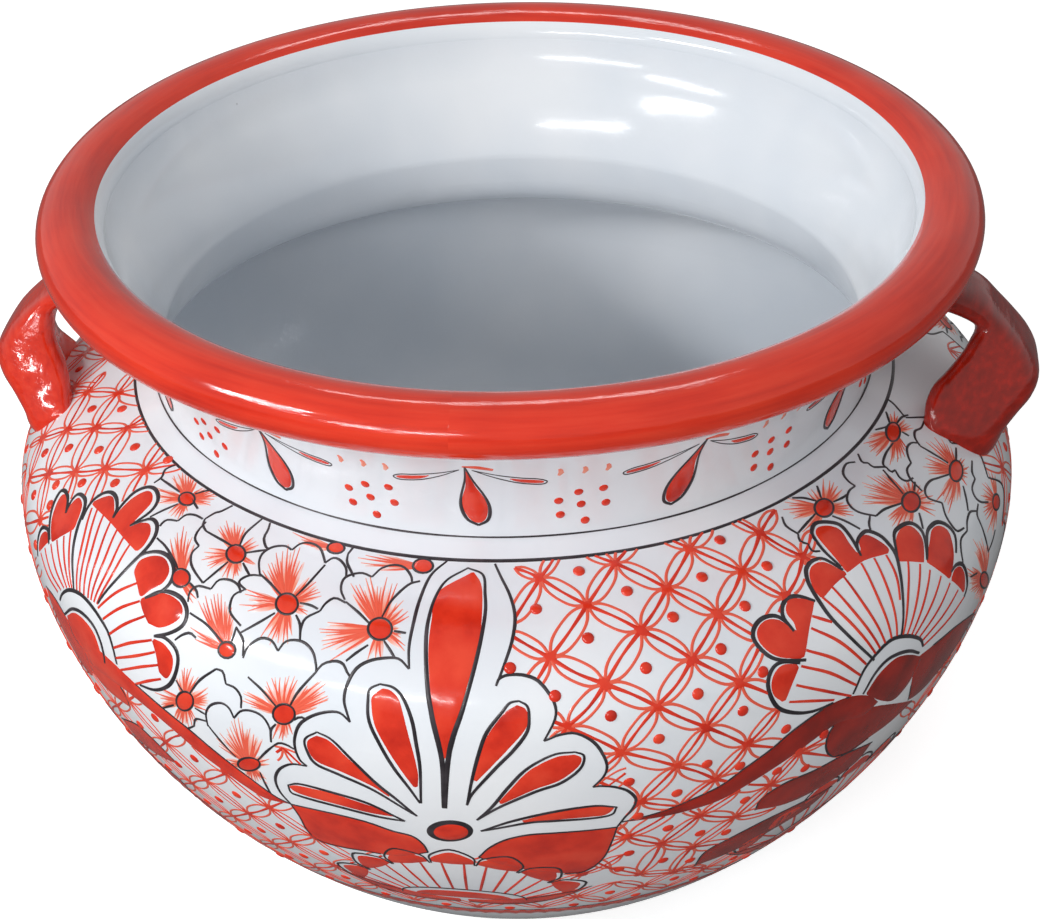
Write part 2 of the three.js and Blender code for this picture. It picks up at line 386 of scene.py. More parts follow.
WHITE = linear(236, 239, 243)
COOL_WHITE = linear(222, 228, 235)
SPECK = linear(120, 118, 120)
RED = linear(217, 50, 26)
DEEP_RED = linear(190, 34, 16)
LIGHT_RED = linear(228, 68, 42)
# SHADED_RED, BROWN_RED and DARK_BROWN_RED darken the right side's reds: painted shade for the side turned
# away from the lamps.
SHADED_RED = linear(176, 34, 16)
BROWN_RED = linear(150, 28, 15)
DARK_BROWN_RED = linear(118, 24, 14)
THIN_RED = linear(240, 150, 124)
INK_COLOR = linear(40, 35, 40)
THIN_INK = linear(74, 68, 74)
CLAY = linear(190, 128, 92)
DARK_CLAY = linear(160, 100, 70)


def white_glaze():
    material, tree, shader = new_material("white_tin_glaze", roughness=0.14, coat=0.25)
    surface = add_glaze_surface(tree, shader, wave=0.22, peel=0.12)
    mottled = ramp(tree, noise(tree, scale=9, detail=3), (0.35, COOL_WHITE), (0.65, WHITE))
    tree.links.new(mix_color(tree, surface["Speck"], mottled, SPECK), shader["Base Color"])
    return material


def red_glaze(name, lumps, *reds):
    """Vermilion glaze with round streaks, on a surface as lumpy as the hand left it."""
    material, tree, shader = new_material(name, roughness=0.13, coat=0.3)
    surface = add_glaze_surface(tree, shader, wave=0.3, peel=0.15)
    streaks = add_node(tree, "Group", node_tree=round_streaks).outputs["Streak"]
    cloudy = ramp(tree, noise(tree, scale=14, detail=4), *zip((0.3, 0.5, 0.75), reds))
    streaky = ramp(tree, streaks, *zip((0.3, 0.5, 0.7), reds))
    tree.links.new(mix_color(tree, 0.5, cloudy, streaky), shader["Base Color"])
    brushed = bump(tree, streaks, 0.0012, 0.25, surface["Normal"])
    tree.links.new(bump(tree, noise(tree, scale=48, detail=1), 0.004, lumps, brushed), shader["Normal"])
    return material


def painted_red(name, *reds):
    """Brushed red inside the motifs, pooled darker in places."""
    material, tree, shader = new_material(name, roughness=0.2, coat=0.15)
    add_glaze_surface(tree, shader, wave=0.25, peel=0.2)
    pooled = ramp(tree, noise(tree, scale=55, detail=5), *zip((0.3, 0.48, 0.7), reds))
    tree.links.new(pooled, shader["Base Color"])
    return material


WEAR = 0.55
WEAR_MIDDLE = 0.28


def brushed_red():
    """Thin brush strokes that fade to the white below, by the strength painted on each stroke."""
    material, tree, shader = new_material("thin_brushed_red", roughness=0.2, coat=0.15)
    add_glaze_surface(tree, shader, wave=0.22, peel=0.12)
    strength = add_node(tree, "Attribute", attribute_name="strength").outputs["Fac"]
    uneven = calculate(tree, "MULTIPLY_ADD", noise(tree, scale=120, detail=4), WEAR, strength, clamp=True)
    shifted = calculate(tree, "SUBTRACT", uneven, WEAR_MIDDLE, clamp=True)
    faded = ramp(tree, shifted, (0.0, WHITE), (0.42, THIN_RED), (0.8, LIGHT_RED), (1.0, RED))
    tree.links.new(faded, shader["Base Color"])
    return material


def charcoal_line():
    material, tree, shader = new_material("charcoal_line", roughness=0.35, coat=0.1)
    add_glaze_surface(tree, shader, wave=0.2, peel=0.12)
    worn = ramp(tree, noise(tree, scale=90, detail=3), (0.45, INK_COLOR), (0.8, THIN_INK))
    tree.links.new(worn, shader["Base Color"])
    return material


def bare_clay():
    material, tree, shader = new_material("unglazed_clay", roughness=0.85, coat=0)
    mottled = ramp(tree, noise(tree, scale=70, detail=6), (0.35, DARK_CLAY), (0.65, CLAY))
    tree.links.new(mottled, shader["Base Color"])
    tree.links.new(bump(tree, noise(tree, scale=420, detail=3), 0.0006), shader["Normal"])
    return material


RIM_LUMPS = 0.03
LEFT_LUMPS = 0.45
RIGHT_LUMPS = 0.35

WHITE_GLAZE = white_glaze()
RED_GLAZE = red_glaze("vermilion_glaze", RIM_LUMPS, DEEP_RED, RED, LIGHT_RED)
# The right handle's glaze is darker than the left's: painted shade for the side away from the lamps.
HANDLE_GLAZES = {
    -1: red_glaze("vermilion_over_pinched_clay", LEFT_LUMPS, DEEP_RED, RED, LIGHT_RED),
    1: red_glaze(
        "shade_darkened_vermilion_over_pinched_clay", RIGHT_LUMPS, DARK_BROWN_RED, BROWN_RED, DEEP_RED),
}
PAINTED_RED = painted_red("painted_red", DEEP_RED, RED, LIGHT_RED)
# Darker red paint for the right side's stems, leaves and shell eye: painted shade.
SHADE_DARKENED_RED = painted_red("shade_darkened_painted_red", DARK_BROWN_RED, BROWN_RED, SHADED_RED)
BRUSHED_RED = brushed_red()
CHARCOAL = charcoal_line()
BARE_CLAY = bare_clay()


# The fired body

FOOT_WIDTH = 20
FLOOR_SEAT = 4
FLOOR_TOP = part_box("base_floor")[1].z / MM
DRAIN_RADIUS = 12
DRAIN_LIP = 2
FLOOR_TURNS = 96
FOOT_ROUNDING = 2.5
floor_radius = FOOT_RADIUS - FOOT_WIDTH + FLOOR_SEAT


def make_foot():
    inside = FOOT_RADIUS - FOOT_WIDTH
    bulge = FOOT_ROUNDING
    ease = np.linspace(0, math.pi / 2, 6)
    outline = [(FOOT_RADIUS - bulge + bulge * math.sin(a), bulge - bulge * math.cos(a)) for a in ease]
    outline += [(FOOT_RADIUS, FOOT_HEIGHT), (inside, FOOT_HEIGHT)]
    outline += [(inside + bulge - bulge * math.cos(a), bulge - bulge * math.sin(a)) for a in ease]
    return finish_piece(spun("standing_ring", outline), BARE_CLAY, "bare_clay", "foot_ring")


def make_floor():
    lip = DRAIN_LIP
    outline = [
        (DRAIN_RADIUS, FOOT_HEIGHT), (floor_radius, FOOT_HEIGHT), (floor_radius, FLOOR_TOP),
        (DRAIN_RADIUS + lip, FLOOR_TOP), (DRAIN_RADIUS + lip / 4, FLOOR_TOP - lip / 4),
        (DRAIN_RADIUS, FLOOR_TOP - lip),
    ]
    return finish_piece(spun("floor_disc", outline, FLOOR_TURNS), WHITE_GLAZE, "white_glaze", "base_floor")


def make_bowl():
    inside = move_sideways(bowl_line, -WALL)
    inside = inside[inside[:, 1] > FLOOR_TOP + WALL]
    inside[-1, 1] = BELLY_Z
    corner = BASE_RADIUS - 1.5 * WALL
    fillet = bent_line((floor_radius, FLOOR_TOP), (corner, FLOOR_TOP), inside[0], 8)
    outline = np.vstack([bowl_line, inside[::-1], fillet[::-1][1:], [(floor_radius, FOOT_HEIGHT)]])
    return finish_piece(spun("bowl_lower_half", outline), WHITE_GLAZE, "white_glaze", "lower_bowl")


# The inside of the neck widens a little below this height, where its shade begins
THROAT_TOP = NECK_Z + 17
THROAT_WIDENING = 5.5
THROAT_BEND = (3, 4)


def make_shoulder():
    inside = move_sideways(shoulder_line, -WALL)
    inside[0, 1] = BELLY_Z
    throat_radius = NECK_RADIUS - NECK_WALL + THROAT_WIDENING
    bend = (throat_radius + THROAT_BEND[0], SHOULDER_Z - THROAT_BEND[1])
    throat = bent_line((throat_radius, NECK_Z), bend, inside[-1], 8)
    outline = np.vstack([shoulder_line, ledge_line[1:], throat, inside[::-1][1:]])
    return finish_piece(spun("bowl_shoulder", outline), WHITE_GLAZE, "white_glaze", "shoulder")


LIP_RADIUS = 188.5
LIP_BLEND_Z = 326
LIP_BEND = (1.5, 9)
LIP_OVERLAP = 8


def make_neck():
    """The flared neck, its inside running smoothly up into the rolled lip."""
    wall = move_sideways(neck_line, -NECK_WALL)
    heights = np.linspace(NECK_Z, LIP_BLEND_Z, 30)
    under = np.clip((THROAT_TOP - heights) / (THROAT_TOP - NECK_Z), 0, 1)
    inside = np.stack([np.interp(heights, wall[:, 1], wall[:, 0]) + THROAT_WIDENING * under, heights], 1)
    bend = (LIP_RADIUS - LIP_BEND[0], LIP_BLEND_Z + LIP_BEND[1])
    blend = bent_line(inside[-1], bend, (LIP_RADIUS, RIM_Z), 12)
    inside = np.vstack([inside, blend[1:], [(LIP_RADIUS + LIP_OVERLAP, RIM_Z)]])
    outline = np.vstack([neck_line, inside[::-1]])
    return finish_piece(spun("flared_neck", outline), WHITE_GLAZE, "white_glaze", "neck_collar")


RED_ENDS_RADIUS = 192
ROLL_SIDES = 72


def make_rim():
    """The rolled lip: red all over but for its inner side, where the white of the inside begins."""
    angles = np.linspace(0, 2 * math.pi, ROLL_SIDES, endpoint=False)
    outline = np.stack([
        ROLL_RADIUS + ROLL_WIDTH / 2 * np.cos(angles), RIM_Z + ROLL_HEIGHT / 2 * np.sin(angles)], 1)
    piece = finish_piece(spun("rolled_rim", outline), RED_GLAZE, "red_glaze", "rim_roll")
    piece.data.materials.append(WHITE_GLAZE)
    for face in piece.data.polygons:
        radius = math.hypot(face.center.x, face.center.y) / MM
        if radius < RED_ENDS_RADIUS and face.center.z / MM > RIM_Z - ROLL_HEIGHT / 2:
            face.material_index = 1
    return piece


# Strap handles, from the neck out and down to the shoulder. Each row is one section: its inner and
# outer edge as radius and height, its half width toward the photograph's camera and away from it,
# and how far the near edge is drawn outward and upward into a wing.

STRAP_RIGHT = [
    (178.5, 309, 186.5, 327, 21, 21, 0, 0),
    (196, 304, 201, 318, 20, 20, 0, 0),
    (209, 300, 214, 312, 20, 20, 0, 0),
    (217, 296, 224, 306, 20, 20, 0, 0),
    (221, 290, 232, 298, 21, 20, -4, 4),
    (224, 283, 240, 289, 24, 22, -12, 9),
    (226, 276, 247, 280, 27, 24, -19, 13),
    (227, 269, 251, 271, 31, 26, -26, 17),
    (226, 262, 249, 263, 36, 30, -31, 21),
    (225, 256, 243, 256, 42, 33, -36, 24),
    (224, 251, 237, 249, 48, 36, -38, 24),
    (222, 246, 233, 241, 51, 38, -36, 20),
    (218, 238, 226, 231, 50, 38, -32, 18),
]
STRAP_LEFT = [
    (178.5, 308, 186.5, 326, 26, 14, 0, 0),
    (196, 302, 201, 315, 25, 13, 0, 0),
    (209, 297, 213, 308, 25, 12, 0, 0),
    (216, 292, 222, 301, 26, 12, 0, 0),
    (221, 287, 231, 294, 27, 12, -2, 2),
    (226, 280, 240, 286, 30, 13, -8, 5),
    (229, 273, 247, 278, 33, 15, -14, 8),
    (231, 267, 252, 269, 37, 18, -20, 10),
    (231, 260, 250, 260, 42, 21, -25, 12),
    (231, 254, 244, 252, 47, 25, -28, 12),
    (229, 249, 238, 245, 53, 28, -27, 11),
    (225, 244, 235, 238, 56, 30, -25, 10),
    (218, 236, 227, 228, 55, 30, -20, 8),
]
STRAP_RINGS = 64
STRAP_SIDES = 56
STRAP_FULLNESS = 3.2
HANDLE_CREASE_DEGREES = 50


def rounded(value):
    return np.sign(value) * np.abs(value) ** (2 / STRAP_FULLNESS)


def make_handle(side):
    rows = smooth_through(STRAP_RIGHT if side > 0 else STRAP_LEFT, STRAP_RINGS)
    angles = np.linspace(0, 2 * math.pi, STRAP_SIDES, endpoint=False)
    across, along = rounded(np.cos(angles)), rounded(np.sin(angles))
    near = along < 0
    wing = np.where(near, -along, 0) * (1 - across) / 2
    points = []
    for inner_r, inner_z, outer_r, outer_z, near_width, far_width, pull_out, pull_up in rows:
        radius = (inner_r + outer_r) / 2 + (outer_r - inner_r) / 2 * across + pull_out * wing
        height = (inner_z + outer_z) / 2 + (outer_z - inner_z) / 2 * across + pull_up * wing
        points += list(zip(side * radius, np.where(near, near_width, far_width) * along, height))
    faces = []
    for ring in range(STRAP_RINGS - 1):
        for i in range(STRAP_SIDES):
            j = (i + 1) % STRAP_SIDES
            a, b = ring * STRAP_SIDES, (ring + 1) * STRAP_SIDES
            faces.append((a + i, a + j, b + j, b + i))
    faces.append(tuple(range(STRAP_SIDES)))
    faces.append(tuple(range((STRAP_RINGS - 1) * STRAP_SIDES, STRAP_RINGS * STRAP_SIDES)))
    name = "handle_right" if side > 0 else "handle_left"
    piece = new_mesh_object("strap_" + name, np.array(points) * MM, faces)
    shape = bmesh.new()
    shape.from_mesh(piece.data)
    bmesh.ops.recalc_face_normals(shape, faces=shape.faces)
    shape.to_mesh(piece.data)
    shape.free()
    select_only(piece)
    bpy.ops.object.shade_smooth_by_angle(angle=math.radians(HANDLE_CREASE_DEGREES))
    return finish_piece(piece, HANDLE_GLAZES[side], "red_glaze", name)


# Painting: lines and shapes laid flat on the wall, as millimetres round the belly and up the wall

LINE_STEP = 0.6
STRIP_STEP = 3
GRID_STEP = 4.5
ENAMEL_EDGE = 0.8
FILL_GROW = 0.55
ENAMEL_SINK = -0.12
DOT_SIDES = 14
DOT_PROFILE = [(0.86, 0.5), (0.5, 0.9)]
STROKE_HEIGHT = 0.16
FILL_HEIGHT = 0.1
# A stroke's upper side: how wide and how high it is beside its middle line, as shares
CROWN_WIDTH = 0.72
CROWN_HEIGHT = 0.8
# How far a fill's points keep from its edge, as shares of its growth or of its sunk edge's width
FOLD_MARGIN = 0.7
RING_MARGIN = 0.8
GRID_MARGIN = 2
SUNK_MARGIN = 0.4
MERGE_DISTANCE = 1e-4
TINY = 1e-9
covers = []


def curve(marks, step=LINE_STEP):
    marks = np.array(marks, float)
    length = np.hypot(*np.diff(marks, axis=0).T).sum()
    return smooth_through(marks, max(int(length / step), 3))


def flat(pixels):
    """Marks on the photograph as flat places on the wall."""
    return seen(pixels) * (BELLY_RADIUS, 1)


def trace(*arcs):
    """A line through marks on the photograph, smooth along each arc and sharp where two arcs meet."""
    return np.vstack([curve(flat(arc)) for arc in arcs])


def contains(outline, places):
    """Which flat places lie inside a closed outline."""
    start, end = outline, np.roll(outline, -1, axis=0)
    x, y = places[:, 0][:, None], places[:, 1][:, None]
    crosses = (start[:, 1] > y) != (end[:, 1] > y)
    slope = (end[:, 0] - start[:, 0]) / np.where(end[:, 1] == start[:, 1], 1, end[:, 1] - start[:, 1])
    return (crosses & (x < start[:, 0] + (y - start[:, 1]) * slope)).sum(1) % 2 == 1


def edge_distance(outline, places):
    start, along = outline, np.roll(outline, -1, axis=0) - outline
    length = np.maximum((along ** 2).sum(1), TINY)
    offset = places[:, None] - start
    share = np.clip((offset * along).sum(2) / length, 0, 1)
    return np.hypot(*(offset - share[:, :, None] * along).transpose(2, 0, 1)).min(1)


def cover(outline):
    """Paint drawn after this leaves the outline free."""
    covers.append((outline.min(0), outline.max(0), outline[::2]))


def uncovered(line):
    free = np.ones(len(line), bool)
    low, high = line.min(0), line.max(0)
    for cover_low, cover_high, outline in covers:
        if (low < cover_high).all() and (high > cover_low).all():
            free &= ~contains(outline, line)
    return free


class Paint:
    """One kind of enamel, gathered stroke by stroke into one mesh."""

    def __init__(self, name, material, slot):
        self.name, self.material, self.slot = name, material, slot
        self.points, self.faces, self.strength = [], [], []
        self.count = 0

    def add(self, points, faces, strength):
        self.points.append(points)
        self.faces += [tuple(i + self.count for i in face) for face in faces]
        self.strength.append(np.broadcast_to(strength, len(points)))
        self.count += len(points)

    def finish(self):
        """Both halves of the pot: the painted front, and the same mirrored on the back."""
        front = np.vstack(self.points)
        back = front * (1, -1, 1)
        faces = self.faces + [tuple(i + self.count for i in reversed(face)) for face in self.faces]
        piece = new_mesh_object(self.name, np.vstack([front, back]) * MM, faces)
        strength = piece.data.attributes.new("strength", "FLOAT", "POINT")
        strength.data.foreach_set("value", np.tile(np.concatenate(self.strength), 2))
        piece.data.polygons.foreach_set("use_smooth", [True] * len(piece.data.polygons))
        return finish_piece(piece, self.material, self.slot)


def stroke(paint, line, widths, height=STROKE_HEIGHT, strength=(1, 1), clipped=True):
    """A brush line: its width runs through the given values, and it stops at what covers it."""
    line = np.asarray(line, float)
    free = uncovered(line) if clipped else np.ones(len(line), bool)
    share = np.linspace(0, 1, len(line))
    width = np.interp(share, np.linspace(0, 1, len(widths)), widths)
    fade = np.interp(share, np.linspace(0, 1, len(strength)), strength)
    edges = np.flatnonzero(np.diff(np.concatenate([[False], free, [False]]).astype(int)))
    for first, last in zip(edges[::2], edges[1::2]):
        if last - first > 2:
            pick = np.unique(np.append(np.arange(first, last, STRIP_STEP), last - 1))
            strip(paint, line[pick], width[pick], height, fade[pick])


def strip(paint, line, width, height, fade):
    turn, run = line[:, 0] / BELLY_RADIUS, line[:, 1]
    middle = on_wall(turn, run)
    out = on_wall(turn, run, 1.0) - middle
    along = np.gradient(middle, axis=0)
    side = np.cross(out, along)
    side /= np.maximum(np.linalg.norm(side, axis=1), TINY)[:, None]
    half = width[:, None] / 2
    rows = [
        middle - side * half + out * ENAMEL_SINK,
        middle - side * half * CROWN_WIDTH + out * height * CROWN_HEIGHT,
        middle + out * height,
        middle + side * half * CROWN_WIDTH + out * height * CROWN_HEIGHT,
        middle + side * half + out * ENAMEL_SINK,
    ]
    sides = len(rows)
    points = np.stack(rows, 1).reshape(-1, 3)
    faces = []
    for ring in range(len(line) - 1):
        for i in range(sides - 1):
            a, b = ring * sides + i, (ring + 1) * sides + i
            faces.append((a, b, b + 1, a + 1))
    paint.add(points, faces, np.repeat(fade, sides))


def inset(outline, depth):
    """A closed outline moved inwards, or outwards where the depth is negative."""
    ahead = np.roll(outline, -1, axis=0) - np.roll(outline, 1, axis=0)
    inward = np.stack([-ahead[:, 1], ahead[:, 0]], 1) / np.maximum(np.hypot(*ahead.T), TINY)[:, None]
    next_x, next_y = np.roll(outline, -1, axis=0).T
    twice_area = (outline[:, 0] * next_y - outline[:, 1] * next_x).sum()
    return outline + inward * np.sign(twice_area) * depth


def fill(paint, outline, height=FILL_HEIGHT, grow=FILL_GROW):
    """A closed shape filled with enamel, its edge sunk into the wall."""
    gaps = np.hypot(*(outline - np.roll(outline, 1, axis=0)).T)
    outline = outline[gaps > LINE_STEP / 4][::2]
    grown = inset(outline, -grow)
    if grow > 0:
        grown = grown[~contains(outline, grown) & (edge_distance(outline, grown) > grow * FOLD_MARGIN)]
    outline = grown
    ring = inset(outline, ENAMEL_EDGE)
    low, high = outline.min(0), outline.max(0)
    columns, lines = np.arange(low[0], high[0], GRID_STEP), np.arange(low[1], high[1], GRID_STEP)
    grid = np.stack(np.meshgrid(columns, lines), -1).reshape(-1, 2)
    ring = ring[contains(outline, ring) & (edge_distance(outline, ring) > ENAMEL_EDGE * RING_MARGIN)]
    grid = grid[contains(outline, grid) & (edge_distance(outline, grid) > ENAMEL_EDGE * GRID_MARGIN)]
    places = [Vector(p) for p in np.vstack([outline, ring, grid])]
    found, _, faces, *_ = delaunay_2d_cdt(places, [], [list(range(len(outline)))], 1, MERGE_DISTANCE)
    found = np.array([tuple(p) for p in found])
    sunk = edge_distance(outline, found) < ENAMEL_EDGE * SUNK_MARGIN
    lift = np.where(sunk, ENAMEL_SINK, height)
    paint.add(on_wall(found[:, 0] / BELLY_RADIUS, found[:, 1], lift), [tuple(f) for f in faces], 1.0)


def dot(paint, centre, radius, height):
    """A raised dot of thick enamel."""
    angles = np.linspace(0, 2 * math.pi, DOT_SIDES, endpoint=False)
    rings = [(1.0, ENAMEL_SINK)] + [(across, height * up) for across, up in DOT_PROFILE]
    scale = BELLY_RADIUS / wall_radius(centre[1])
    places = [
        (centre[0] + radius * r * scale * math.cos(a), centre[1] + radius * r * math.sin(a), h)
        for r, h in rings for a in angles
    ]
    places = np.array(places + [(centre[0], centre[1], height)])
    faces = []
    for ring in range(len(rings) - 1):
        for i in range(DOT_SIDES):
            j = (i + 1) % DOT_SIDES
            a, b = ring * DOT_SIDES, (ring + 1) * DOT_SIDES
            faces.append((a + i, a + j, b + j, b + i))
    last = (len(rings) - 1) * DOT_SIDES
    faces += [(last + i, last + (i + 1) % DOT_SIDES, len(places) - 1) for i in range(DOT_SIDES)]
    paint.add(on_wall(places[:, 0] / BELLY_RADIUS, places[:, 1], places[:, 2]), faces, 1.0)


def free_dot(centre, radius, height):
    if uncovered(np.array([centre, centre])).all():
        dot(RED_LINES, centre, radius, height)


RED_FILL = Paint("red_motifs", PAINTED_RED, "red_glaze")
SHADED_RED_FILL = Paint("shaded_red_leaves", SHADE_DARKENED_RED, "red_glaze")
RED_LINES = Paint("red_brush_lines", PAINTED_RED, "red_glaze")
THIN_REDS = Paint("thin_red_strokes", BRUSHED_RED, "red_glaze")
LATTICE_LINES = Paint("red_lattice_lines", BRUSHED_RED, "red_glaze")
INK_LINES = Paint("charcoal_outlines", CHARCOAL, "charcoal_line")

BOLD_INK = (1.2, 2.0, 1.4)
FINE_INK = (0.9, 1.3, 0.9)
PETAL_INK = (1.0, 1.5, 1.1)
INK_HEIGHT = 0.26
RED_LINE_HEIGHT = 0.2
OVAL_SIDES = 24


def ink(marks, widths):
    stroke(INK_LINES, curve(flat(marks)), widths, INK_HEIGHT)


def oval(centre, across, up):
    angles = np.linspace(0, 2 * math.pi, OVAL_SIDES, endpoint=False)
    return [(centre[0] + across * math.cos(a), centre[1] + up * math.sin(a)) for a in angles]


# The palmette in the middle of the front, as marks on the photograph

PALMETTE_LOBES = [
    [(291, 804), (281, 793), (276, 783), (276, 775), (281, 768), (292, 764), (307, 766)],
    [(307, 766), (300, 760), (295, 748), (295, 736), (300, 724), (312, 716), (327, 712), (340, 713),
     (350, 722)],
    [(350, 722), (347, 713), (344, 700), (347, 685), (356, 669), (369, 661), (385, 658), (399, 659),
     (409, 669)],
    [(409, 669), (409, 647), (413, 625), (420, 599), (431, 575), (447, 561)],
    [(447, 561), (470, 562), (495, 564)],
    [(495, 564), (501, 577), (509, 593), (514, 609), (515, 623), (512, 641), (507, 657), (500, 676),
     (496, 686)],
    [(496, 686), (499, 679), (508, 675), (523, 675), (537, 680), (548, 692), (555, 705), (555, 719),
     (544, 741)],
    [(544, 741), (549, 739), (559, 735), (575, 733), (591, 740), (601, 751), (607, 765), (604, 776),
     (593, 787)],
    [(593, 787), (601, 786), (615, 787), (628, 791), (636, 799), (633, 808), (625, 817), (617, 827)],
]
PALMETTE_FOOT_LEFT = [
    (428, 852), (423, 844), (412, 836), (393, 831), (367, 822), (340, 815), (313, 809), (291, 804),
]
PALMETTE_FOOT_RIGHT = [
    (617, 827), (580, 831), (553, 833), (527, 835), (505, 840), (489, 848), (479, 857),
]
# Each drop: its two inked sides from head to tip, and the two sides of its red
DROPS = [
    (
        [(468, 568), (447, 580), (436, 596), (429, 617), (426, 641), (428, 692), (432, 716), (442, 761),
         (444, 808)],
        [(468, 568), (483, 575), (485, 593), (485, 615), (477, 657), (463, 708), (453, 737), (448, 761),
         (445, 808)],
        [(473, 573), (439, 593), (433, 620), (430, 647), (431, 679), (436, 722), (444, 759)],
        [(444, 759), (451, 730), (463, 697), (474, 655), (479, 633), (481, 605), (480, 585), (473, 573)],
    ),
    (
        [(380, 684), (370, 689), (368, 700), (369, 721), (380, 745), (393, 767), (409, 788), (420, 803)],
        [(380, 684), (394, 688), (404, 700), (412, 721), (416, 743), (420, 769), (421, 803)],
        [(383, 690), (374, 697), (373, 705), (377, 727), (393, 756), (416, 788)],
        [(416, 788), (416, 772), (409, 743), (399, 705), (391, 693), (383, 690)],
    ),
    (
        [(519, 701), (510, 703), (503, 711), (487, 732), (479, 753), (472, 780), (467, 805)],
        [(519, 701), (527, 706), (529, 716), (527, 732), (513, 751), (495, 769), (473, 793), (467, 805)],
        [(517, 707), (505, 715), (490, 735), (482, 755), (473, 783)],
        [(473, 783), (490, 766), (510, 745), (523, 730), (527, 719), (524, 710), (517, 707)],
    ),
    (
        [(317, 732), (305, 739), (307, 751), (316, 764), (340, 775), (375, 791), (417, 816)],
        [(317, 732), (332, 740), (351, 759), (377, 784), (396, 799), (417, 816)],
        [(317, 737), (309, 742), (310, 751), (318, 761), (342, 771), (372, 785), (391, 797)],
        [(391, 797), (375, 784), (350, 762), (330, 743), (317, 737)],
    ),
    (
        [(575, 752), (553, 755), (527, 769), (508, 788), (492, 807), (477, 820)],
        [(575, 752), (584, 756), (580, 769), (561, 783), (535, 792), (500, 807), (477, 820)],
        [(574, 756), (555, 759), (530, 772), (512, 790), (499, 804)],
        [(499, 804), (533, 789), (558, 780), (576, 767), (580, 759), (574, 756)],
    ),
    (
        [(288, 785), (300, 784), (327, 791), (367, 803), (405, 821)],
        [(288, 785), (291, 792), (300, 796), (340, 807), (380, 817), (405, 821)],
        [(290, 787), (300, 787), (330, 794), (365, 805), (395, 816)],
        [(395, 816), (370, 812), (335, 803), (300, 793), (290, 787)],
    ),
    (
        [(617, 807), (593, 806), (553, 812), (513, 821), (481, 831)],
        [(617, 807), (607, 816), (553, 821), (527, 823), (481, 831)],
        [(613, 808), (593, 808), (553, 814), (520, 822)],
        [(520, 822), (553, 819), (590, 816), (605, 814), (613, 808)],
    ),
]
PALMETTE_STALK = [(479, 857), (452, 850), (428, 852)]
# The lobe at the tip is left without a line, and the knob is red inside a charcoal rim
OPEN_LOBE = 4
PALMETTE_KNOB = [(INK_LINES, (450, 831), 23, 10.5, 0.12), (RED_FILL, (451, 832), 17, 7.5, 0.3)]
PALMETTE_INK = (1.1, 1.5, 1.8, 1.5, 1.0)
DROP_INK = (0.9, 1.4, 1.9, 1.9, 1.2)
STEM_INK = (0.9, 1.4, 1.8, 2.2, 2.8, 2.2)
FULL_GROW = 1.15
LEAF_LEFT_UNDER = [
    (291, 804), (300, 817), (308, 831), (321, 841), (343, 847), (367, 851), (399, 856), (428, 852),
]
LEAF_RIGHT_UNDER = [
    (479, 857), (500, 864), (537, 871), (575, 873), (591, 868), (604, 857), (612, 841), (617, 827),
]


def paint_palmette():
    edge = trace(*PALMETTE_LOBES, PALMETTE_FOOT_RIGHT, PALMETTE_STALK, PALMETTE_FOOT_LEFT)
    for lobe in PALMETTE_LOBES:
        if lobe != PALMETTE_LOBES[OPEN_LOBE]:
            ink(lobe, PALMETTE_INK)
    for border in (PALMETTE_FOOT_LEFT, PALMETTE_FOOT_RIGHT):
        ink(border, FINE_INK)
    for number, (left, right, red_out, red_back) in enumerate(DROPS):
        widths = STEM_INK if number == 0 else DROP_INK
        ink(left, widths)
        ink(right, widths)
        fill(RED_FILL, trace(red_out, red_back), grow=FULL_GROW)
    for paint, (x, y), across, up, height in PALMETTE_KNOB:
        fill(paint, trace(oval((x, y), across, up) + [(x + across, y)]), height)
    leaves = [(PALMETTE_FOOT_LEFT, LEAF_LEFT_UNDER), (PALMETTE_FOOT_RIGHT, LEAF_RIGHT_UNDER)]
    for leaf in leaves:
        fill(RED_FILL, trace(*leaf))
    for upper, under in leaves:
        ink(under, FINE_INK)
    cover(edge)
    for leaf in leaves:
        cover(trace(*leaf))


# The shells at both sides: inked lobes, red inside them, dividing lines, ribs and a red eye

RIGHT_SHELL_INK = [
    [(815, 601), (803, 597), (795, 596), (788, 598), (783, 604), (782, 612), (785, 620), (794, 631)],
    [(794, 631), (786, 622), (776, 616), (765, 617), (757, 623), (753, 632), (755, 642), (766, 654),
     (780, 660), (806, 660)],
    [(800, 663), (783, 662), (773, 668), (768, 682), (771, 697), (780, 709), (797, 713), (814, 711),
     (833, 703)],
    [(874, 660), (855, 642), (833, 620), (819, 601), (809, 584), (806, 572), (808, 565), (814, 560),
     (824, 559), (843, 570)],
    [(841, 567), (824, 551), (813, 536), (812, 529), (816, 523), (828, 522), (840, 525), (850, 536),
     (857, 548), (861, 556)],
    [(858, 549), (857, 543), (860, 536), (867, 531), (879, 535), (888, 543), (896, 555), (900, 572),
     (903, 600), (901, 637)],
    [(897, 556), (894, 536), (898, 528), (908, 523), (917, 526), (924, 536), (927, 560)],
    [(927, 560), (927, 534), (932, 525), (939, 522), (948, 526), (955, 536), (956, 553)],
    [(951, 572), (956, 565), (962, 564), (966, 572), (967, 586), (964, 597)],
    [(853, 694), (864, 670), (879, 651), (893, 639), (908, 636), (920, 639), (923, 646)],
    [(863, 694), (874, 675), (886, 661), (898, 654), (910, 651), (919, 653)],
]
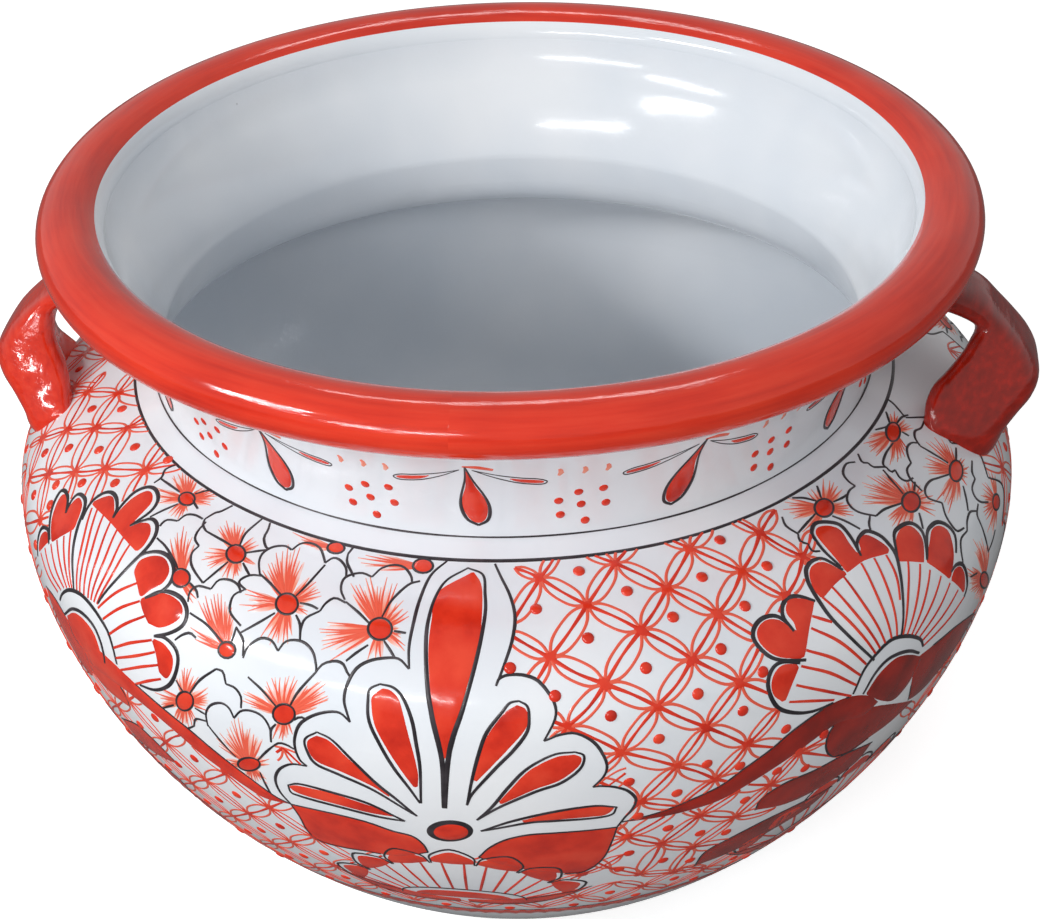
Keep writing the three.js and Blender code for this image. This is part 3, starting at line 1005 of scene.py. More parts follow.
RIGHT_SHELL_RED = [
    [
        [(813, 600), (801, 600), (793, 600), (788, 605), (788, 613), (795, 622), (797, 632), (788, 627),
         (777, 621), (766, 622), (759, 630), (760, 640), (769, 650), (782, 656), (803, 657)],
        [(803, 657), (808, 628), (813, 600)],
    ],
    [
        [(798, 666), (785, 666), (777, 672), (773, 683), (775, 694), (784, 701)],
        [(784, 701), (791, 684), (798, 666)],
    ],
    [
        [(822, 597), (815, 589), (811, 577), (812, 569), (818, 564), (827, 564), (840, 571), (846, 573)],
        [(846, 573), (834, 583), (822, 597)],
    ],
    [
        [(847, 571), (835, 556), (822, 541), (817, 533), (820, 528), (830, 527), (840, 531), (848, 543),
         (858, 556)],
        [(858, 556), (862, 550), (860, 541), (866, 536), (876, 540), (887, 548), (887, 552)],
        [(887, 552), (864, 559), (847, 571)],
    ],
    [
        [(900, 560), (897, 543), (901, 531), (909, 527), (916, 531), (922, 541), (923, 561)],
        [(923, 561), (910, 560), (900, 560)],
    ],
    [
        [(927, 561), (931, 541), (933, 531), (939, 527), (947, 531), (951, 541), (953, 556), (950, 578)],
        [(950, 578), (939, 569), (927, 561)],
    ],
    [[(952, 579), (955, 571), (960, 568), (964, 575), (964, 592)], [(964, 592), (959, 585), (952, 579)]],
]
RIGHT_SHELL_EYE = [
    [(866, 694), (877, 677), (889, 664), (899, 657), (911, 655), (922, 657)],
    [(922, 657), (915, 672), (905, 688), (893, 700), (880, 700), (866, 694)],
]
RIGHT_SHELL_RIBS = [
    [(812, 616), (832, 622)], [(811, 628), (840, 642), (866, 664)], [(806, 650), (835, 659), (860, 675)],
    [(801, 666), (830, 673), (856, 685)], [(796, 685), (825, 691), (851, 696)],
    [(789, 702), (812, 701), (834, 700)], [(822, 597), (848, 620), (876, 654)],
    [(831, 586), (856, 614), (881, 650)], [(843, 576), (865, 606), (886, 645)],
    [(861, 563), (879, 600), (892, 641)], [(874, 558), (889, 592), (897, 636)],
    [(886, 555), (896, 575), (900, 600)], [(908, 561), (908, 598), (903, 635)],
    [(920, 564), (917, 600), (907, 635)], [(930, 570), (924, 602), (911, 636)],
    [(941, 576), (931, 606), (914, 637)], [(950, 583), (938, 610), (918, 639)],
    [(958, 590), (944, 614), (921, 642)], [(964, 597), (948, 620), (923, 646)],
]
RIGHT_SHELL_EDGE = [
    (834, 704), (815, 712), (795, 714), (780, 709), (770, 697), (767, 682), (775, 664), (764, 653),
    (752, 640), (753, 628), (760, 619), (775, 614), (782, 612), (783, 600), (795, 594), (812, 598),
    (805, 578), (808, 563), (825, 557), (812, 536), (812, 527), (824, 521), (842, 525), (857, 545),
    (860, 534), (868, 530), (885, 539), (894, 549), (895, 532), (908, 522), (918, 525), (926, 534),
    (939, 521), (951, 528), (957, 550), (957, 565), (964, 564), (968, 580), (965, 598), (950, 622),
    (930, 650), (915, 680), (893, 702), (865, 700), (850, 697),
]
LEFT_SHELL_INK = [
    [(60, 600), (63, 593), (70, 590), (80, 594), (90, 604), (100, 618), (108, 632), (113, 648), (117, 664)],
    [(65, 614), (72, 609), (82, 613), (93, 625), (100, 640), (104, 655), (105, 663)],
    [(50, 540), (50, 520), (54, 503), (61, 491), (66, 492), (68, 500), (66, 513)],
    [(66, 513), (72, 500), (79, 494), (85, 499), (84, 510), (78, 526), (73, 550), (73, 575), (74, 590)],
    [(82, 520), (90, 504), (100, 495), (110, 492), (116, 497), (117, 508), (113, 518)],
    [(113, 518), (122, 505), (135, 492), (148, 487), (156, 490), (158, 500), (150, 512), (130, 526)],
    [(130, 526), (142, 521), (152, 519), (157, 525), (155, 536), (146, 549), (132, 563), (116, 580),
     (98, 603)],
    [(134, 560), (146, 553), (160, 552), (170, 558), (174, 570), (170, 583), (160, 592), (145, 598)],
    [(145, 598), (158, 592), (170, 592), (182, 599), (187, 612), (183, 625), (170, 633), (155, 636)],
    [(154, 636), (165, 638), (175, 648), (178, 660), (175, 675), (168, 686), (155, 690), (140, 685)],
    [(38, 556), (38, 540), (42, 528), (48, 530), (49, 544)],
]
LEFT_SHELL_EYE = [
    [(67, 616), (74, 613), (83, 619), (93, 632), (99, 648), (101, 658)],
    [(101, 658), (84, 650), (73, 635), (67, 616)],
]
LEFT_SHELL_RED = [
    [
        [(52, 541), (52, 522), (56, 507), (62, 496), (66, 499), (65, 516)],
        [(65, 516), (72, 504), (78, 499), (81, 505), (79, 514), (74, 528)],
        [(74, 528), (63, 534), (52, 541)],
    ],
    [
        [(93, 503), (101, 499), (110, 497), (113, 503), (113, 521)],
        [(113, 521), (121, 510), (134, 498), (146, 492), (151, 495), (150, 503), (141, 513), (129, 526)],
        [(129, 526), (139, 524), (148, 525), (149, 534), (143, 545), (137, 550)],
        [(137, 550), (112, 522), (93, 503)],
    ],
    [
        [(135, 571), (141, 561), (154, 557), (164, 560), (168, 571), (162, 582), (151, 588), (141, 596)],
        [(141, 596), (138, 583), (135, 571)],
    ],
    [
        [(141, 600), (155, 595), (168, 596), (179, 604), (181, 613), (174, 621), (160, 626), (149, 622)],
        [(149, 622), (144, 611), (141, 600)],
    ],
    [
        [(153, 640), (163, 645), (171, 656), (171, 668), (166, 677), (160, 672)],
        [(160, 672), (157, 655), (153, 640)],
    ],
    [[(39, 551), (41, 537), (46, 533), (48, 541)], [(48, 541), (43, 546), (39, 551)]],
]
LEFT_SHELL_RIBS = [
    [(41, 553), (48, 575), (58, 592)], [(45, 548), (51, 572), (61, 590)], [(51, 544), (56, 570), (64, 588)],
    [(57, 540), (61, 568), (67, 588)], [(64, 536), (65, 565), (70, 588)], [(71, 531), (69, 560), (72, 588)],
    [(92, 508), (82, 545), (77, 590)], [(98, 508), (86, 550), (80, 592)],
    [(104, 514), (91, 553), (84, 595)], [(111, 521), (97, 558), (88, 598)],
    [(118, 528), (103, 563), (91, 600)], [(125, 535), (108, 570), (94, 602)],
    [(131, 543), (112, 575), (97, 604)], [(137, 583), (117, 592), (98, 608)],
    [(140, 601), (120, 608), (103, 619)], [(145, 616), (125, 624), (108, 635)],
    [(152, 640), (130, 643), (113, 648)], [(155, 652), (135, 656), (116, 658)],
    [(158, 665), (140, 667), (121, 670)], [(161, 679), (148, 681), (136, 684)],
]
LEFT_SHELL_EDGE = [
    (140, 687), (155, 691), (169, 687), (177, 675), (179, 660), (175, 647), (163, 636), (184, 625),
    (188, 612), (182, 598), (163, 591), (172, 582), (175, 570), (170, 557), (158, 551), (146, 552),
    (157, 536), (158, 522), (142, 519), (158, 503), (157, 489), (147, 486), (134, 491), (118, 505),
    (116, 495), (108, 491), (98, 495), (88, 505), (86, 498), (79, 493), (70, 500), (67, 491), (60, 490),
    (53, 503), (49, 520), (49, 530), (42, 527), (37, 540), (37, 560), (48, 580), (60, 603), (84, 650),
    (110, 665),
]
RIGHT_STEM = [
    [(878, 702), (868, 696), (850, 697), (830, 705), (810, 718), (790, 733), (770, 750), (745, 768),
     (720, 786), (690, 800), (660, 812), (622, 822)],
    [(622, 822), (660, 817), (690, 810), (720, 800), (750, 783), (780, 764), (800, 750), (820, 735),
     (840, 722), (862, 716), (878, 702)],
]
RIGHT_LEAVES = [
    [
        [(836, 722), (828, 735), (826, 748), (832, 756), (848, 752), (868, 738)],
        [(868, 738), (890, 722), (913, 700)],
        [(913, 700), (878, 706), (856, 714), (836, 722)],
    ],
    [
        [(755, 810), (762, 798), (785, 783), (815, 770), (845, 754), (872, 742)],
        [(872, 742), (858, 760), (838, 776), (812, 792), (785, 804), (755, 810)],
    ],
    [
        [(694, 866), (705, 852), (730, 838), (765, 820), (800, 803), (832, 786)],
        [(832, 786), (810, 806), (775, 828), (735, 850), (694, 866)],
    ],
]
RIGHT_TURNING_LEAF = [
    (908, 700), (912, 680), (917, 660), (930, 648), (942, 638), (955, 627), (967, 618), (975, 612),
]
LEFT_TURNING_LEAF = [(88, 655), (79, 640), (70, 624), (61, 608), (53, 595), (46, 586)]
LEAF_DEPTH = 32
LEAF_ROUNDNESS = 0.7
SHELL_INK = (1.4, 2.3, 2.3, 1.5)
SHELL_RIB = (1.3, 1.8, 1.4)
STEM_HEIGHT = 0.14
LEFT_STEM = [
    [(88, 652), (96, 649), (110, 660), (130, 679), (150, 697), (170, 714), (190, 730), (210, 747),
     (230, 763), (250, 778), (275, 796), (291, 804)],
    [(291, 804), (265, 798), (245, 786), (220, 768), (200, 753), (185, 740), (170, 727), (150, 710),
     (128, 692), (106, 676), (92, 664), (88, 652)],
]
LEFT_LEAVES = [
    [[(84, 650), (92, 655), (106, 668), (118, 683), (127, 698), (130, 707)],
     [(130, 707), (120, 700), (106, 688), (92, 670), (84, 650)]],
    [[(122, 718), (136, 724), (152, 738), (166, 752), (178, 764)],
     [(178, 764), (162, 757), (146, 746), (132, 732), (122, 718)]],
]


def paint_shell(inked, reds, eye, ribs, edge, red):
    for line in inked:
        ink(line, SHELL_INK)
    for arcs in reds:
        fill(RED_FILL, trace(*arcs), grow=FULL_GROW)
    fill(red, trace(*eye))
    for rib in ribs:
        stroke(RED_LINES, curve(flat(rib)), SHELL_RIB, RED_LINE_HEIGHT)
    cover(trace(edge + edge[:1]))


def paint_stem(sides, leaves, red):
    fill(red, trace(*sides), STEM_HEIGHT)
    ink(sides[0], FINE_INK)
    cover(trace(*sides))
    for arcs in leaves:
        fill(red, trace(*arcs))
        ink(arcs[0], FINE_INK)
        cover(trace(*arcs))


def paint_turning_leaf(marks, red):
    """A leaf that turns away behind the pot's edge: only its upper side is seen."""
    upper = trace(marks)
    belly = LEAF_DEPTH * np.sin(math.pi * np.linspace(0, 1, len(upper))) ** LEAF_ROUNDNESS
    lower = upper - np.stack([np.zeros(len(upper)), belly], 1)
    outline = np.vstack([upper, lower[-2:0:-1]])
    fill(red, outline)
    stroke(INK_LINES, upper, FINE_INK)
    cover(outline)


# Small fans low on the wall, worked out from their middle

FRONT_FAN = (-6, 109)
SIDE_FANS = [(-222, 108), (212, 108)]
FAN_RADIUS = 61
FAN_LOBES = 7
FAN_EYE_WIDTH = 26
FAN_EYE_HEIGHT = 13
FAN_LEAF = [(2, -1), (20, 1), (40, 7), (62, 16), (44, -1), (24, -8), (2, -6), (2, -1)]
FAN_SPREAD_DEGREES = 160
# A lobe's line, its red and the red's lower edge, as shares of the fan's radius
LOBE_LINE = (0.8, 0.93, 1.03, 0.93, 0.8)
LOBE_RED = (0.81, 0.9, 0.99, 0.9, 0.81)
LOBE_CHORD = (0.81, 0.78, 0.81)
# Half a lobe's width at its foot and near its top, and where its ribs lie, as shares of one lobe's angle
LOBE_HALF = 0.48
LOBE_HIGH_HALF = 0.4
LOBE_RIBS = (-0.25, 0.25)
FAN_LOBE_INK = (0.9, 1.5, 0.9)
FAN_RIB_WIDTHS = (1.2, 1.7, 1.4)
FAN_EYE_INK = (0.8, 1.3, 0.8)
# How far the edge of the cover, the ribs' ends, the eye's line and its red lie from the middle
COVER_SHARE = 1.02
RIB_END = 1.25
EYE_LINE = 1.2
EYE_RED = 0.92


def paint_fan(middle):
    spread = math.radians(FAN_SPREAD_DEGREES)
    step = spread / FAN_LOBES
    scale = BELLY_RADIUS / wall_radius(middle[1] + FAN_RADIUS / 2)

    def place(angle, radius):
        return middle[0] + scale * radius * math.sin(angle), middle[1] + radius * math.cos(angle)

    def on_eye(angle, share=1.0):
        across, up = FAN_EYE_WIDTH * math.sin(angle), FAN_EYE_HEIGHT * math.cos(angle)
        return middle[0] + scale * across * share, middle[1] + up * share

    edge = []
    for lobe in range(FAN_LOBES):
        angle = -spread / 2 + (lobe + 0.5) * step
        start, end = angle - step * LOBE_HALF, angle + step * LOBE_HALF
        rise = [start, angle - step * LOBE_HIGH_HALF, angle, angle + step * LOBE_HIGH_HALF, end]
        outer = [FAN_RADIUS * r for r in LOBE_LINE]
        line = curve([place(a, r) for a, r in zip(rise, outer)])
        stroke(INK_LINES, line, FAN_LOBE_INK, INK_HEIGHT)
        inner = [place(a, FAN_RADIUS * r) for a, r in zip(rise, LOBE_RED)]
        chord = [place(a, FAN_RADIUS * r) for a, r in zip((end, angle, start), LOBE_CHORD)]
        fill(RED_FILL, np.vstack([curve(inner), curve(chord)]), grow=0)
        edge += [place(a, r * COVER_SHARE) for a, r in zip(rise, outer)]
        for shift in LOBE_RIBS:
            rib = angle + step * shift
            line = curve([place(rib, FAN_RADIUS * LOBE_LINE[0]), on_eye(rib, RIB_END)])
            stroke(RED_LINES, line, FAN_RIB_WIDTHS, RED_LINE_HEIGHT)
    arc = np.linspace(-math.pi / 2, math.pi / 2, 13)
    stroke(INK_LINES, curve([on_eye(a, EYE_LINE) for a in arc]), FAN_EYE_INK, INK_HEIGHT)
    eye = [on_eye(a, EYE_RED) for a in arc] + [on_eye(0, 0.1)]
    fill(RED_FILL, curve(eye + eye[:1]))
    for side in (-1, 1):
        border = [place(side * spread / 2, FAN_RADIUS * LOBE_LINE[0]), on_eye(side * spread / 2, EYE_LINE)]
        stroke(INK_LINES, curve(border), BOLD_INK)
        leaf = np.array([(middle[0] + side * scale * x, middle[1] + y) for x, y in FAN_LEAF])
        outline = np.vstack([curve(leaf[:4]), curve(leaf[3:7]), curve(leaf[6:])])
        fill(RED_FILL, outline)
        stroke(INK_LINES, curve(leaf[3:7]), FINE_INK)
        cover(outline)
    cover(curve(edge + [on_eye(math.pi / 2), on_eye(-math.pi / 2)] + edge[:1]))


# Flowers: a ringed eye, inked petal edges, lines between the petals and tufts of feathered strokes.
# A tuft is a row of marks that its brush strokes reach, fanned out from the eye.

FLOWERS_LEFT = [
    (
        (284, 714), (11, 10),
        [
            [(243, 658), (247, 648), (255, 641), (263, 638), (272, 641), (278, 651)],
            [(278, 651), (285, 642), (295, 640), (305, 643), (313, 652), (316, 665), (316, 672)],
            [(316, 672), (323, 664), (335, 661), (343, 664), (347, 672), (351, 678)],
            [(248, 677), (262, 690), (276, 706)],
            [(290, 706), (298, 692), (316, 672)],
            [(294, 720), (300, 717), (306, 719)],
            [(276, 724), (271, 730), (271, 742)],
            [(226, 684), (235, 688), (241, 697), (241, 708)],
        ],
        [
            [(258, 688), (268, 680), (284, 676), (298, 680)],
            [(240, 688), (242, 697), (252, 707)],
            [(300, 688), (322, 682), (330, 692), (322, 704), (304, 712)],
            [(274, 736), (284, 742), (292, 734)],
        ],
    ),
    (
        (380, 629), (12, 11),
        [
            [(345, 600), (341, 590), (343, 580), (350, 575), (362, 573), (372, 577)],
            [(372, 577), (382, 568), (395, 565), (405, 568), (411, 576), (412, 582)],
            [(300, 640), (301, 628), (306, 618), (320, 611)],
            [(320, 611), (326, 603), (335, 598), (346, 603)],
            [(346, 602), (358, 612), (369, 623)],
            [(382, 617), (392, 600), (408, 585), (420, 581)],
            [(368, 645), (356, 653), (346, 661)],
            [(384, 641), (390, 650), (396, 660)],
            [(394, 631), (406, 633)],
        ],
        [
            [(350, 590), (362, 582), (378, 580), (396, 586)],
            [(398, 600), (406, 606), (408, 616)],
            [(322, 622), (318, 632), (318, 646), (334, 658)],
            [(368, 660), (382, 662)],
            [(402, 628), (404, 640), (402, 650)],
        ],
    ),
    (
        (287, 604), (11, 10.5),
        [
            [(260, 575), (259, 562), (263, 553), (273, 547), (285, 546), (292, 550)],
            [(292, 550), (300, 544), (310, 543), (320, 548), (324, 558), (325, 563)],
            [(325, 563), (333, 558), (340, 560), (346, 568), (346, 578)],
            [(262, 576), (252, 575), (243, 578), (239, 583), (246, 590)],
            [(244, 590), (234, 595), (230, 605), (231, 614), (241, 626)],
            [(260, 574), (270, 583), (282, 596)],
            [(296, 596), (307, 585), (325, 565)],
            [(240, 633), (258, 623), (275, 613)],
            [(296, 615), (300, 625), (300, 641)],
            [(300, 603), (310, 605), (318, 609)],
        ],
        [
            [(264, 572), (274, 556), (290, 550), (306, 558)],
            [(312, 574), (320, 584), (322, 596)],
            [(248, 590), (244, 602), (248, 612)],
            [(262, 636), (276, 646), (292, 636)],
            [(306, 606), (308, 616)],
        ],
    ),
    (
        (236, 554), (9.5, 9),
        [
            [(205, 519), (215, 513), (222, 511), (238, 502)],
            [(206, 531), (222, 540), (232, 546)],
            [(205, 519), (203, 525), (206, 531)],
            [(240, 545), (246, 533), (262, 519)],
            [(270, 523), (268, 530), (264, 538), (266, 547), (270, 549)],
            [(243, 563), (250, 576)],
            [(228, 562), (216, 572), (203, 583)],
            [(245, 553), (258, 551), (266, 550)],
            [(206, 522), (198, 531), (195, 539), (199, 546)],
            [(199, 546), (192, 553), (191, 563), (195, 572), (203, 583)],
        ],
        [
            [(218, 530), (230, 522), (246, 526)],
            [(206, 548), (204, 560), (212, 568)],
            [(256, 536), (262, 544)],
            [(218, 574), (232, 580), (242, 574)],
            [(252, 562), (258, 566)],
        ],
    ),
    (
        (181, 578), (9, 9),
        [
            [(156, 535), (160, 526), (167, 520), (178, 521)],
            [(178, 521), (186, 515), (195, 515), (203, 519)],
            [(157, 538), (166, 547), (175, 562), (178, 570)],
            [(190, 583), (196, 590), (198, 598)],
        ],
        [[(171, 542), (183, 532), (195, 542)], [(192, 586), (198, 594), (192, 600)]],
    ),
    (
        (227, 650), (8.5, 8),
        [
            [(188, 602), (190, 592), (198, 586), (211, 589)],
            [(211, 589), (219, 580), (230, 580), (238, 585), (241, 593)],
            [(190, 613), (206, 624), (218, 637), (223, 643)],
            [(236, 628), (233, 638), (231, 643)],
            [(236, 627), (243, 640), (243, 656)],
            [(175, 640), (182, 635), (190, 633), (196, 638)],
        ],
        [[(200, 604), (214, 596), (228, 602), (234, 618)], [(194, 630), (198, 640)]],
    ),
    (
        (185, 701), (8.5, 9.5),
        [
            [(216, 669), (223, 672), (226, 684)],
            [(176, 680), (180, 687), (183, 691)],
            [(190, 693), (200, 680), (216, 669)],
            [(163, 708), (174, 705)],
            [(195, 708), (205, 714)],
        ],
        [
            [(176, 676), (186, 668), (198, 678)],
            [(158, 688), (158, 700), (162, 708)],
            [(206, 688), (212, 700), (206, 710)],
            [(173, 722), (185, 728), (196, 720)],
        ],
    ),
    (
        (249, 764), (11, 6.5),
        [
            [(208, 726), (206, 713), (211, 705), (221, 703), (229, 708), (234, 718)],
            [(234, 718), (241, 711), (252, 711), (263, 717), (270, 729), (271, 741)],
            [(208, 725), (220, 740), (236, 757)],
            [(258, 760), (266, 752), (272, 747)],
            [(272, 747), (279, 743), (287, 745), (294, 749)],
            [(260, 772), (266, 785), (273, 797)],
            [(206, 721), (196, 719), (194, 726)],
            [(194, 726), (187, 730), (188, 739)],
        ],
        [
            [(216, 744), (226, 730), (244, 724), (264, 736)],
            [(222, 758), (226, 768)],
            [(266, 754), (272, 764)],
            [(246, 778), (258, 784), (268, 780)],
        ],
    ),
    (
        (187, 499), (8, 6.5),
        [
            [(154, 483), (162, 477), (166, 469), (180, 463)],
            [(160, 478), (170, 485), (180, 492)],
            [(150, 517), (164, 510), (178, 504)],
            [(192, 499), (198, 509)],
            [(195, 494), (212, 490), (232, 492)],
        ],
        [
            [(172, 478), (184, 471), (198, 478)],
            [(158, 488), (158, 504)],
            [(166, 516), (178, 518), (188, 510)],
            [(206, 486), (216, 492), (212, 506)],
        ],
    ),
    (
        (336, 548), (8.5, 5.5),
        [[(346, 543), (354, 545), (348, 554)], [(348, 554), (347, 562), (351, 571), (354, 577)]],
        [[(298, 534), (300, 541), (312, 549)]],
    ),
    ((423, 566), (10, 7), [], [[(372, 553), (366, 561), (374, 570)]]),
]
FLOWERS_RIGHT = [
    (
        (911, 502), (9, 10),
        [
            [(855, 462), (846, 464), (843, 473), (848, 481), (855, 486)],
            [(855, 486), (849, 491), (847, 500), (852, 508), (861, 513), (876, 516)],
            [(883, 470), (892, 481), (903, 494)],
            [(876, 516), (885, 509), (902, 503)],
            [(915, 482), (914, 491)],
            [(919, 513), (923, 529)],
            [(870, 516), (869, 524), (871, 532)],
            [(886, 467), (891, 472), (895, 470)],
            [(895, 470), (900, 478), (907, 481), (913, 478)],
        ],
        [
            [(868, 504), (866, 490), (872, 478), (880, 468)],
            [(884, 520), (896, 526), (912, 526)],
            [(926, 490), (934, 500), (932, 514)],
            [(898, 484), (908, 480), (920, 484)],
        ],
    ),
    (
        (824, 508), (9.5, 9),
        [
            [(782, 517), (786, 526), (798, 534)],
            [(798, 534), (800, 541), (808, 544)],
            [(808, 544), (812, 551), (820, 551)],
            [(817, 486), (821, 498)],
            [(833, 502), (842, 498), (848, 494)],
            [(792, 498), (804, 498), (816, 501)],
            [(815, 514), (806, 524), (798, 533)],
            [(832, 516), (845, 521), (860, 529)],
        ],
        [
            [(784, 498), (784, 510), (790, 520)],
            [(808, 492), (815, 488)],
            [(824, 482), (834, 482), (843, 489)],
            [(846, 502), (854, 510), (850, 518)],
            [(804, 530), (812, 534)],
        ],
    ),
    (
        (956, 471), (6.5, 10.5),
        [
            [(924, 421), (921, 428), (915, 431), (915, 438), (920, 446)],
            [(920, 446), (932, 453), (948, 463)],
            [(918, 443), (911, 443), (907, 448), (908, 456), (911, 463)],
            [(911, 463), (907, 470), (911, 480), (922, 491)],
            [(956, 448), (956, 462)],
            [(950, 474), (938, 478), (930, 481), (925, 489), (928, 498), (942, 503)],
            [(942, 503), (945, 514), (950, 523), (957, 531), (964, 528)],
            [(963, 486), (966, 498), (968, 511)],
        ],
        [
            [(926, 474), (925, 464), (928, 456)],
            [(928, 444), (938, 440), (950, 446)],
            [(938, 498), (948, 508), (960, 504)],
            [(962, 458), (968, 470), (966, 484)],
        ],
    ),
    (
        (893, 432), (7, 9.5),
        [
            [(886, 412), (890, 424)],
            [(896, 424), (902, 417), (908, 415)],
            [(875, 430), (886, 427)],
            [(893, 443), (886, 453), (883, 463), (886, 468)],
            [(858, 454), (862, 462), (868, 463)],
            [(868, 463), (873, 467), (880, 467), (886, 467)],
            [(902, 432), (909, 436)],
        ],
        [
            [(868, 434), (866, 446), (874, 458)],
            [(890, 462), (900, 460), (906, 448)],
            [(890, 412), (898, 414)],
            [(906, 418), (914, 428)],
        ],
    ),
    (
        (996, 502), (3.5, 8),
        [
            [(972, 461), (972, 472), (975, 479)],
            [(975, 479), (972, 488), (975, 497), (981, 502), (988, 502)],
            [(978, 504), (977, 515), (981, 525)],
            [(981, 525), (985, 537), (988, 552)],
            [(988, 552), (992, 542), (995, 530)],
        ],
        [[(984, 482), (982, 500), (986, 520)], [(988, 530), (995, 532)], [(988, 472), (994, 470)]],
    ),
    (
        (984, 580), (4, 8),
        [
            [(976, 511), (970, 512), (967, 521), (967, 531)],
            [(967, 531), (961, 539), (961, 551), (963, 564)],
            [(970, 577), (977, 573)],
        ],
        [[(972, 548), (979, 540), (990, 546)], [(970, 566), (969, 580), (973, 594), (980, 602)]],
    ),
]
FEATHER_SPACING = 1.9
WASH_SPACING = 2.6
FEATHER_START = 0.16
FEATHER_WIDTHS = (1.9, 1.25, 0.4)
FEATHER_HEIGHT = 0.09
FEATHER_HEIGHT_STEP = 0.01
WASH_END = 0.9
WASH_WIDTHS = (1.8, 3.2, 1.0)
WASH_STRENGTH = (0.7, 0.36, 0.08)
WASH_HEIGHT = 0.05
EYE_RING_WIDTHS = (1.2, 1.5, 1.2)
EYE_RING_HEIGHT = 0.3
EYE_RED_SHARE = 0.9
EYE_RED_HEIGHT = 0.24
chance = np.random.default_rng(7)


def paint_tuft(eye, reach):
    """A pale wash, and over it thin strokes from near the eye out to a row of marks, uneven and fading."""
    for end in curve(reach, WASH_SPACING):
        wash = curve([eye + (end - eye) * FEATHER_START, eye + (end - eye) * WASH_END])
        stroke(THIN_REDS, wash, WASH_WIDTHS, WASH_HEIGHT, WASH_STRENGTH)
    for number, end in enumerate(curve(reach, FEATHER_SPACING)):
        side = chance.uniform(-1, 1, 2)
        start = eye + (end - eye) * FEATHER_START + side * 0.5
        tip = eye + (end - eye) * chance.uniform(0.8, 1.15) + side * 0.4
        bend = (start + tip) / 2 + side * 0.5
        strength = (1.0, 0.85, chance.uniform(0.3, 0.55))
        # Three heights in turn keep crossing strokes from lying in one plane
        height = FEATHER_HEIGHT + FEATHER_HEIGHT_STEP * (number % 3)
        stroke(THIN_REDS, curve([start, bend, tip]), FEATHER_WIDTHS, height, strength)


def paint_flower(eye_mark, eye_size, edges, tufts):
    ring = flat(oval(eye_mark, *eye_size))
    if not uncovered(flat([eye_mark, eye_mark])).all():
        return
    eye = flat([eye_mark])[0]
    closed = curve(np.vstack([ring, ring[:2]]))
    for line in edges:
        ink(line, PETAL_INK)
    for reach in tufts:
        paint_tuft(eye, flat(reach))
    stroke(INK_LINES, closed, EYE_RING_WIDTHS, EYE_RING_HEIGHT)
    inside = ring.mean(0) + (curve(np.vstack([ring, ring[:1]])) - ring.mean(0)) * EYE_RED_SHARE
    fill(RED_FILL, inside, EYE_RED_HEIGHT)


# The lattice: two families of crossing chains, with two bowed lines and a middle one between knots

CHAINS_RIGHT = [
    [(515, 568), (540, 578), (587, 605), (641, 630), (692, 659), (740, 682), (790, 706)],
    [(580, 548), (615, 563), (667, 588), (718, 614), (762, 640), (800, 662)],
    [(655, 532), (690, 548), (742, 571), (786, 597), (830, 620)],
    [(725, 514), (760, 533), (803, 557), (845, 580)],
    [(505, 632), (550, 658), (605, 684), (657, 706), (706, 727), (747, 745), (800, 752), (845, 757)],
    [(520, 700), (567, 727), (622, 752), (677, 766), (715, 779), (770, 785), (815, 790)],
    [(590, 778), (640, 802), (680, 806), (700, 815), (735, 817), (775, 808)],
    [(600, 820), (627, 837), (661, 844), (692, 847), (735, 842)],
    [(588, 858), (610, 868), (640, 874), (672, 872), (705, 866)], [(560, 545), (540, 578), (510, 625)],
    [(640, 530), (615, 563), (587, 605), (550, 658), (520, 700)],
    [(712, 522), (690, 548), (667, 588), (641, 630), (605, 684), (567, 727), (540, 765)],
    [(775, 510), (760, 533), (742, 571), (718, 614), (692, 659), (657, 706), (622, 752), (590, 778)],
    [(812, 530), (803, 557), (786, 597), (762, 640), (740, 682), (706, 727), (677, 766), (640, 802),
     (600, 835)],
    [(800, 690), (780, 707), (747, 745), (715, 779), (680, 806), (627, 837), (588, 858)],
    [(850, 720), (800, 752), (770, 785), (735, 817), (692, 847), (672, 872)],
    [(740, 790), (700, 815), (661, 844), (640, 874)],
]
CHAINS_LEFT = [
    [(190, 372), (160, 390), (118, 393), (88, 392), (62, 398)],
    [(185, 410), (160, 425), (128, 428), (95, 428), (67, 430), (43, 438), (30, 446)],
    [(190, 462), (145, 470), (105, 469), (75, 472), (48, 474), (30, 478)],
    [(100, 512), (62, 516), (40, 520), (26, 524)],
    [(178, 378), (160, 390), (128, 428), (105, 469), (85, 520)],
    [(190, 410), (170, 430), (145, 470), (125, 515)],
    [(135, 370), (118, 393), (95, 428), (75, 472), (62, 516)],
    [(105, 372), (88, 392), (67, 430), (48, 474), (40, 520)], [(62, 398), (43, 438), (30, 478), (26, 524)],
]
DOTS_RIGHT = [
    (536, 609), (579, 571), (627, 591), (588, 638), (646, 668), (510, 668), (555, 696), (611, 716),
    (629, 782), (702, 577), (720, 540), (767, 566), (745, 606), (673, 617), (721, 649), (763, 672),
    (698, 694), (743, 711), (659, 739), (707, 764), (740, 766), (677, 793), (638, 816), (786, 729),
    (824, 734), (777, 771), (805, 768), (745, 800), (700, 833), (726, 832), (668, 828), (629, 853),
    (663, 860), (690, 860),
]
DOTS_LEFT = [
    (92, 409), (122, 409), (148, 408), (69, 448), (99, 450), (135, 447), (45, 453), (168, 460), (115, 483),
    (82, 483), (56, 485), (34, 495), (50, 505), (36, 545),
]
RIGHT_WEIGHT = 1.0
LEFT_WEIGHT = 0.9
LATTICE_BOW = 0.17
BOW_SHAPE = [(0.22, 0.8), (0.5, 1), (0.78, 0.8)]
BOWED_WIDTHS = (1.8, 1.4, 1.8)
BOWED_STRENGTH = (1.0, 0.85, 1.0)
BOWED_HEIGHT = 0.18
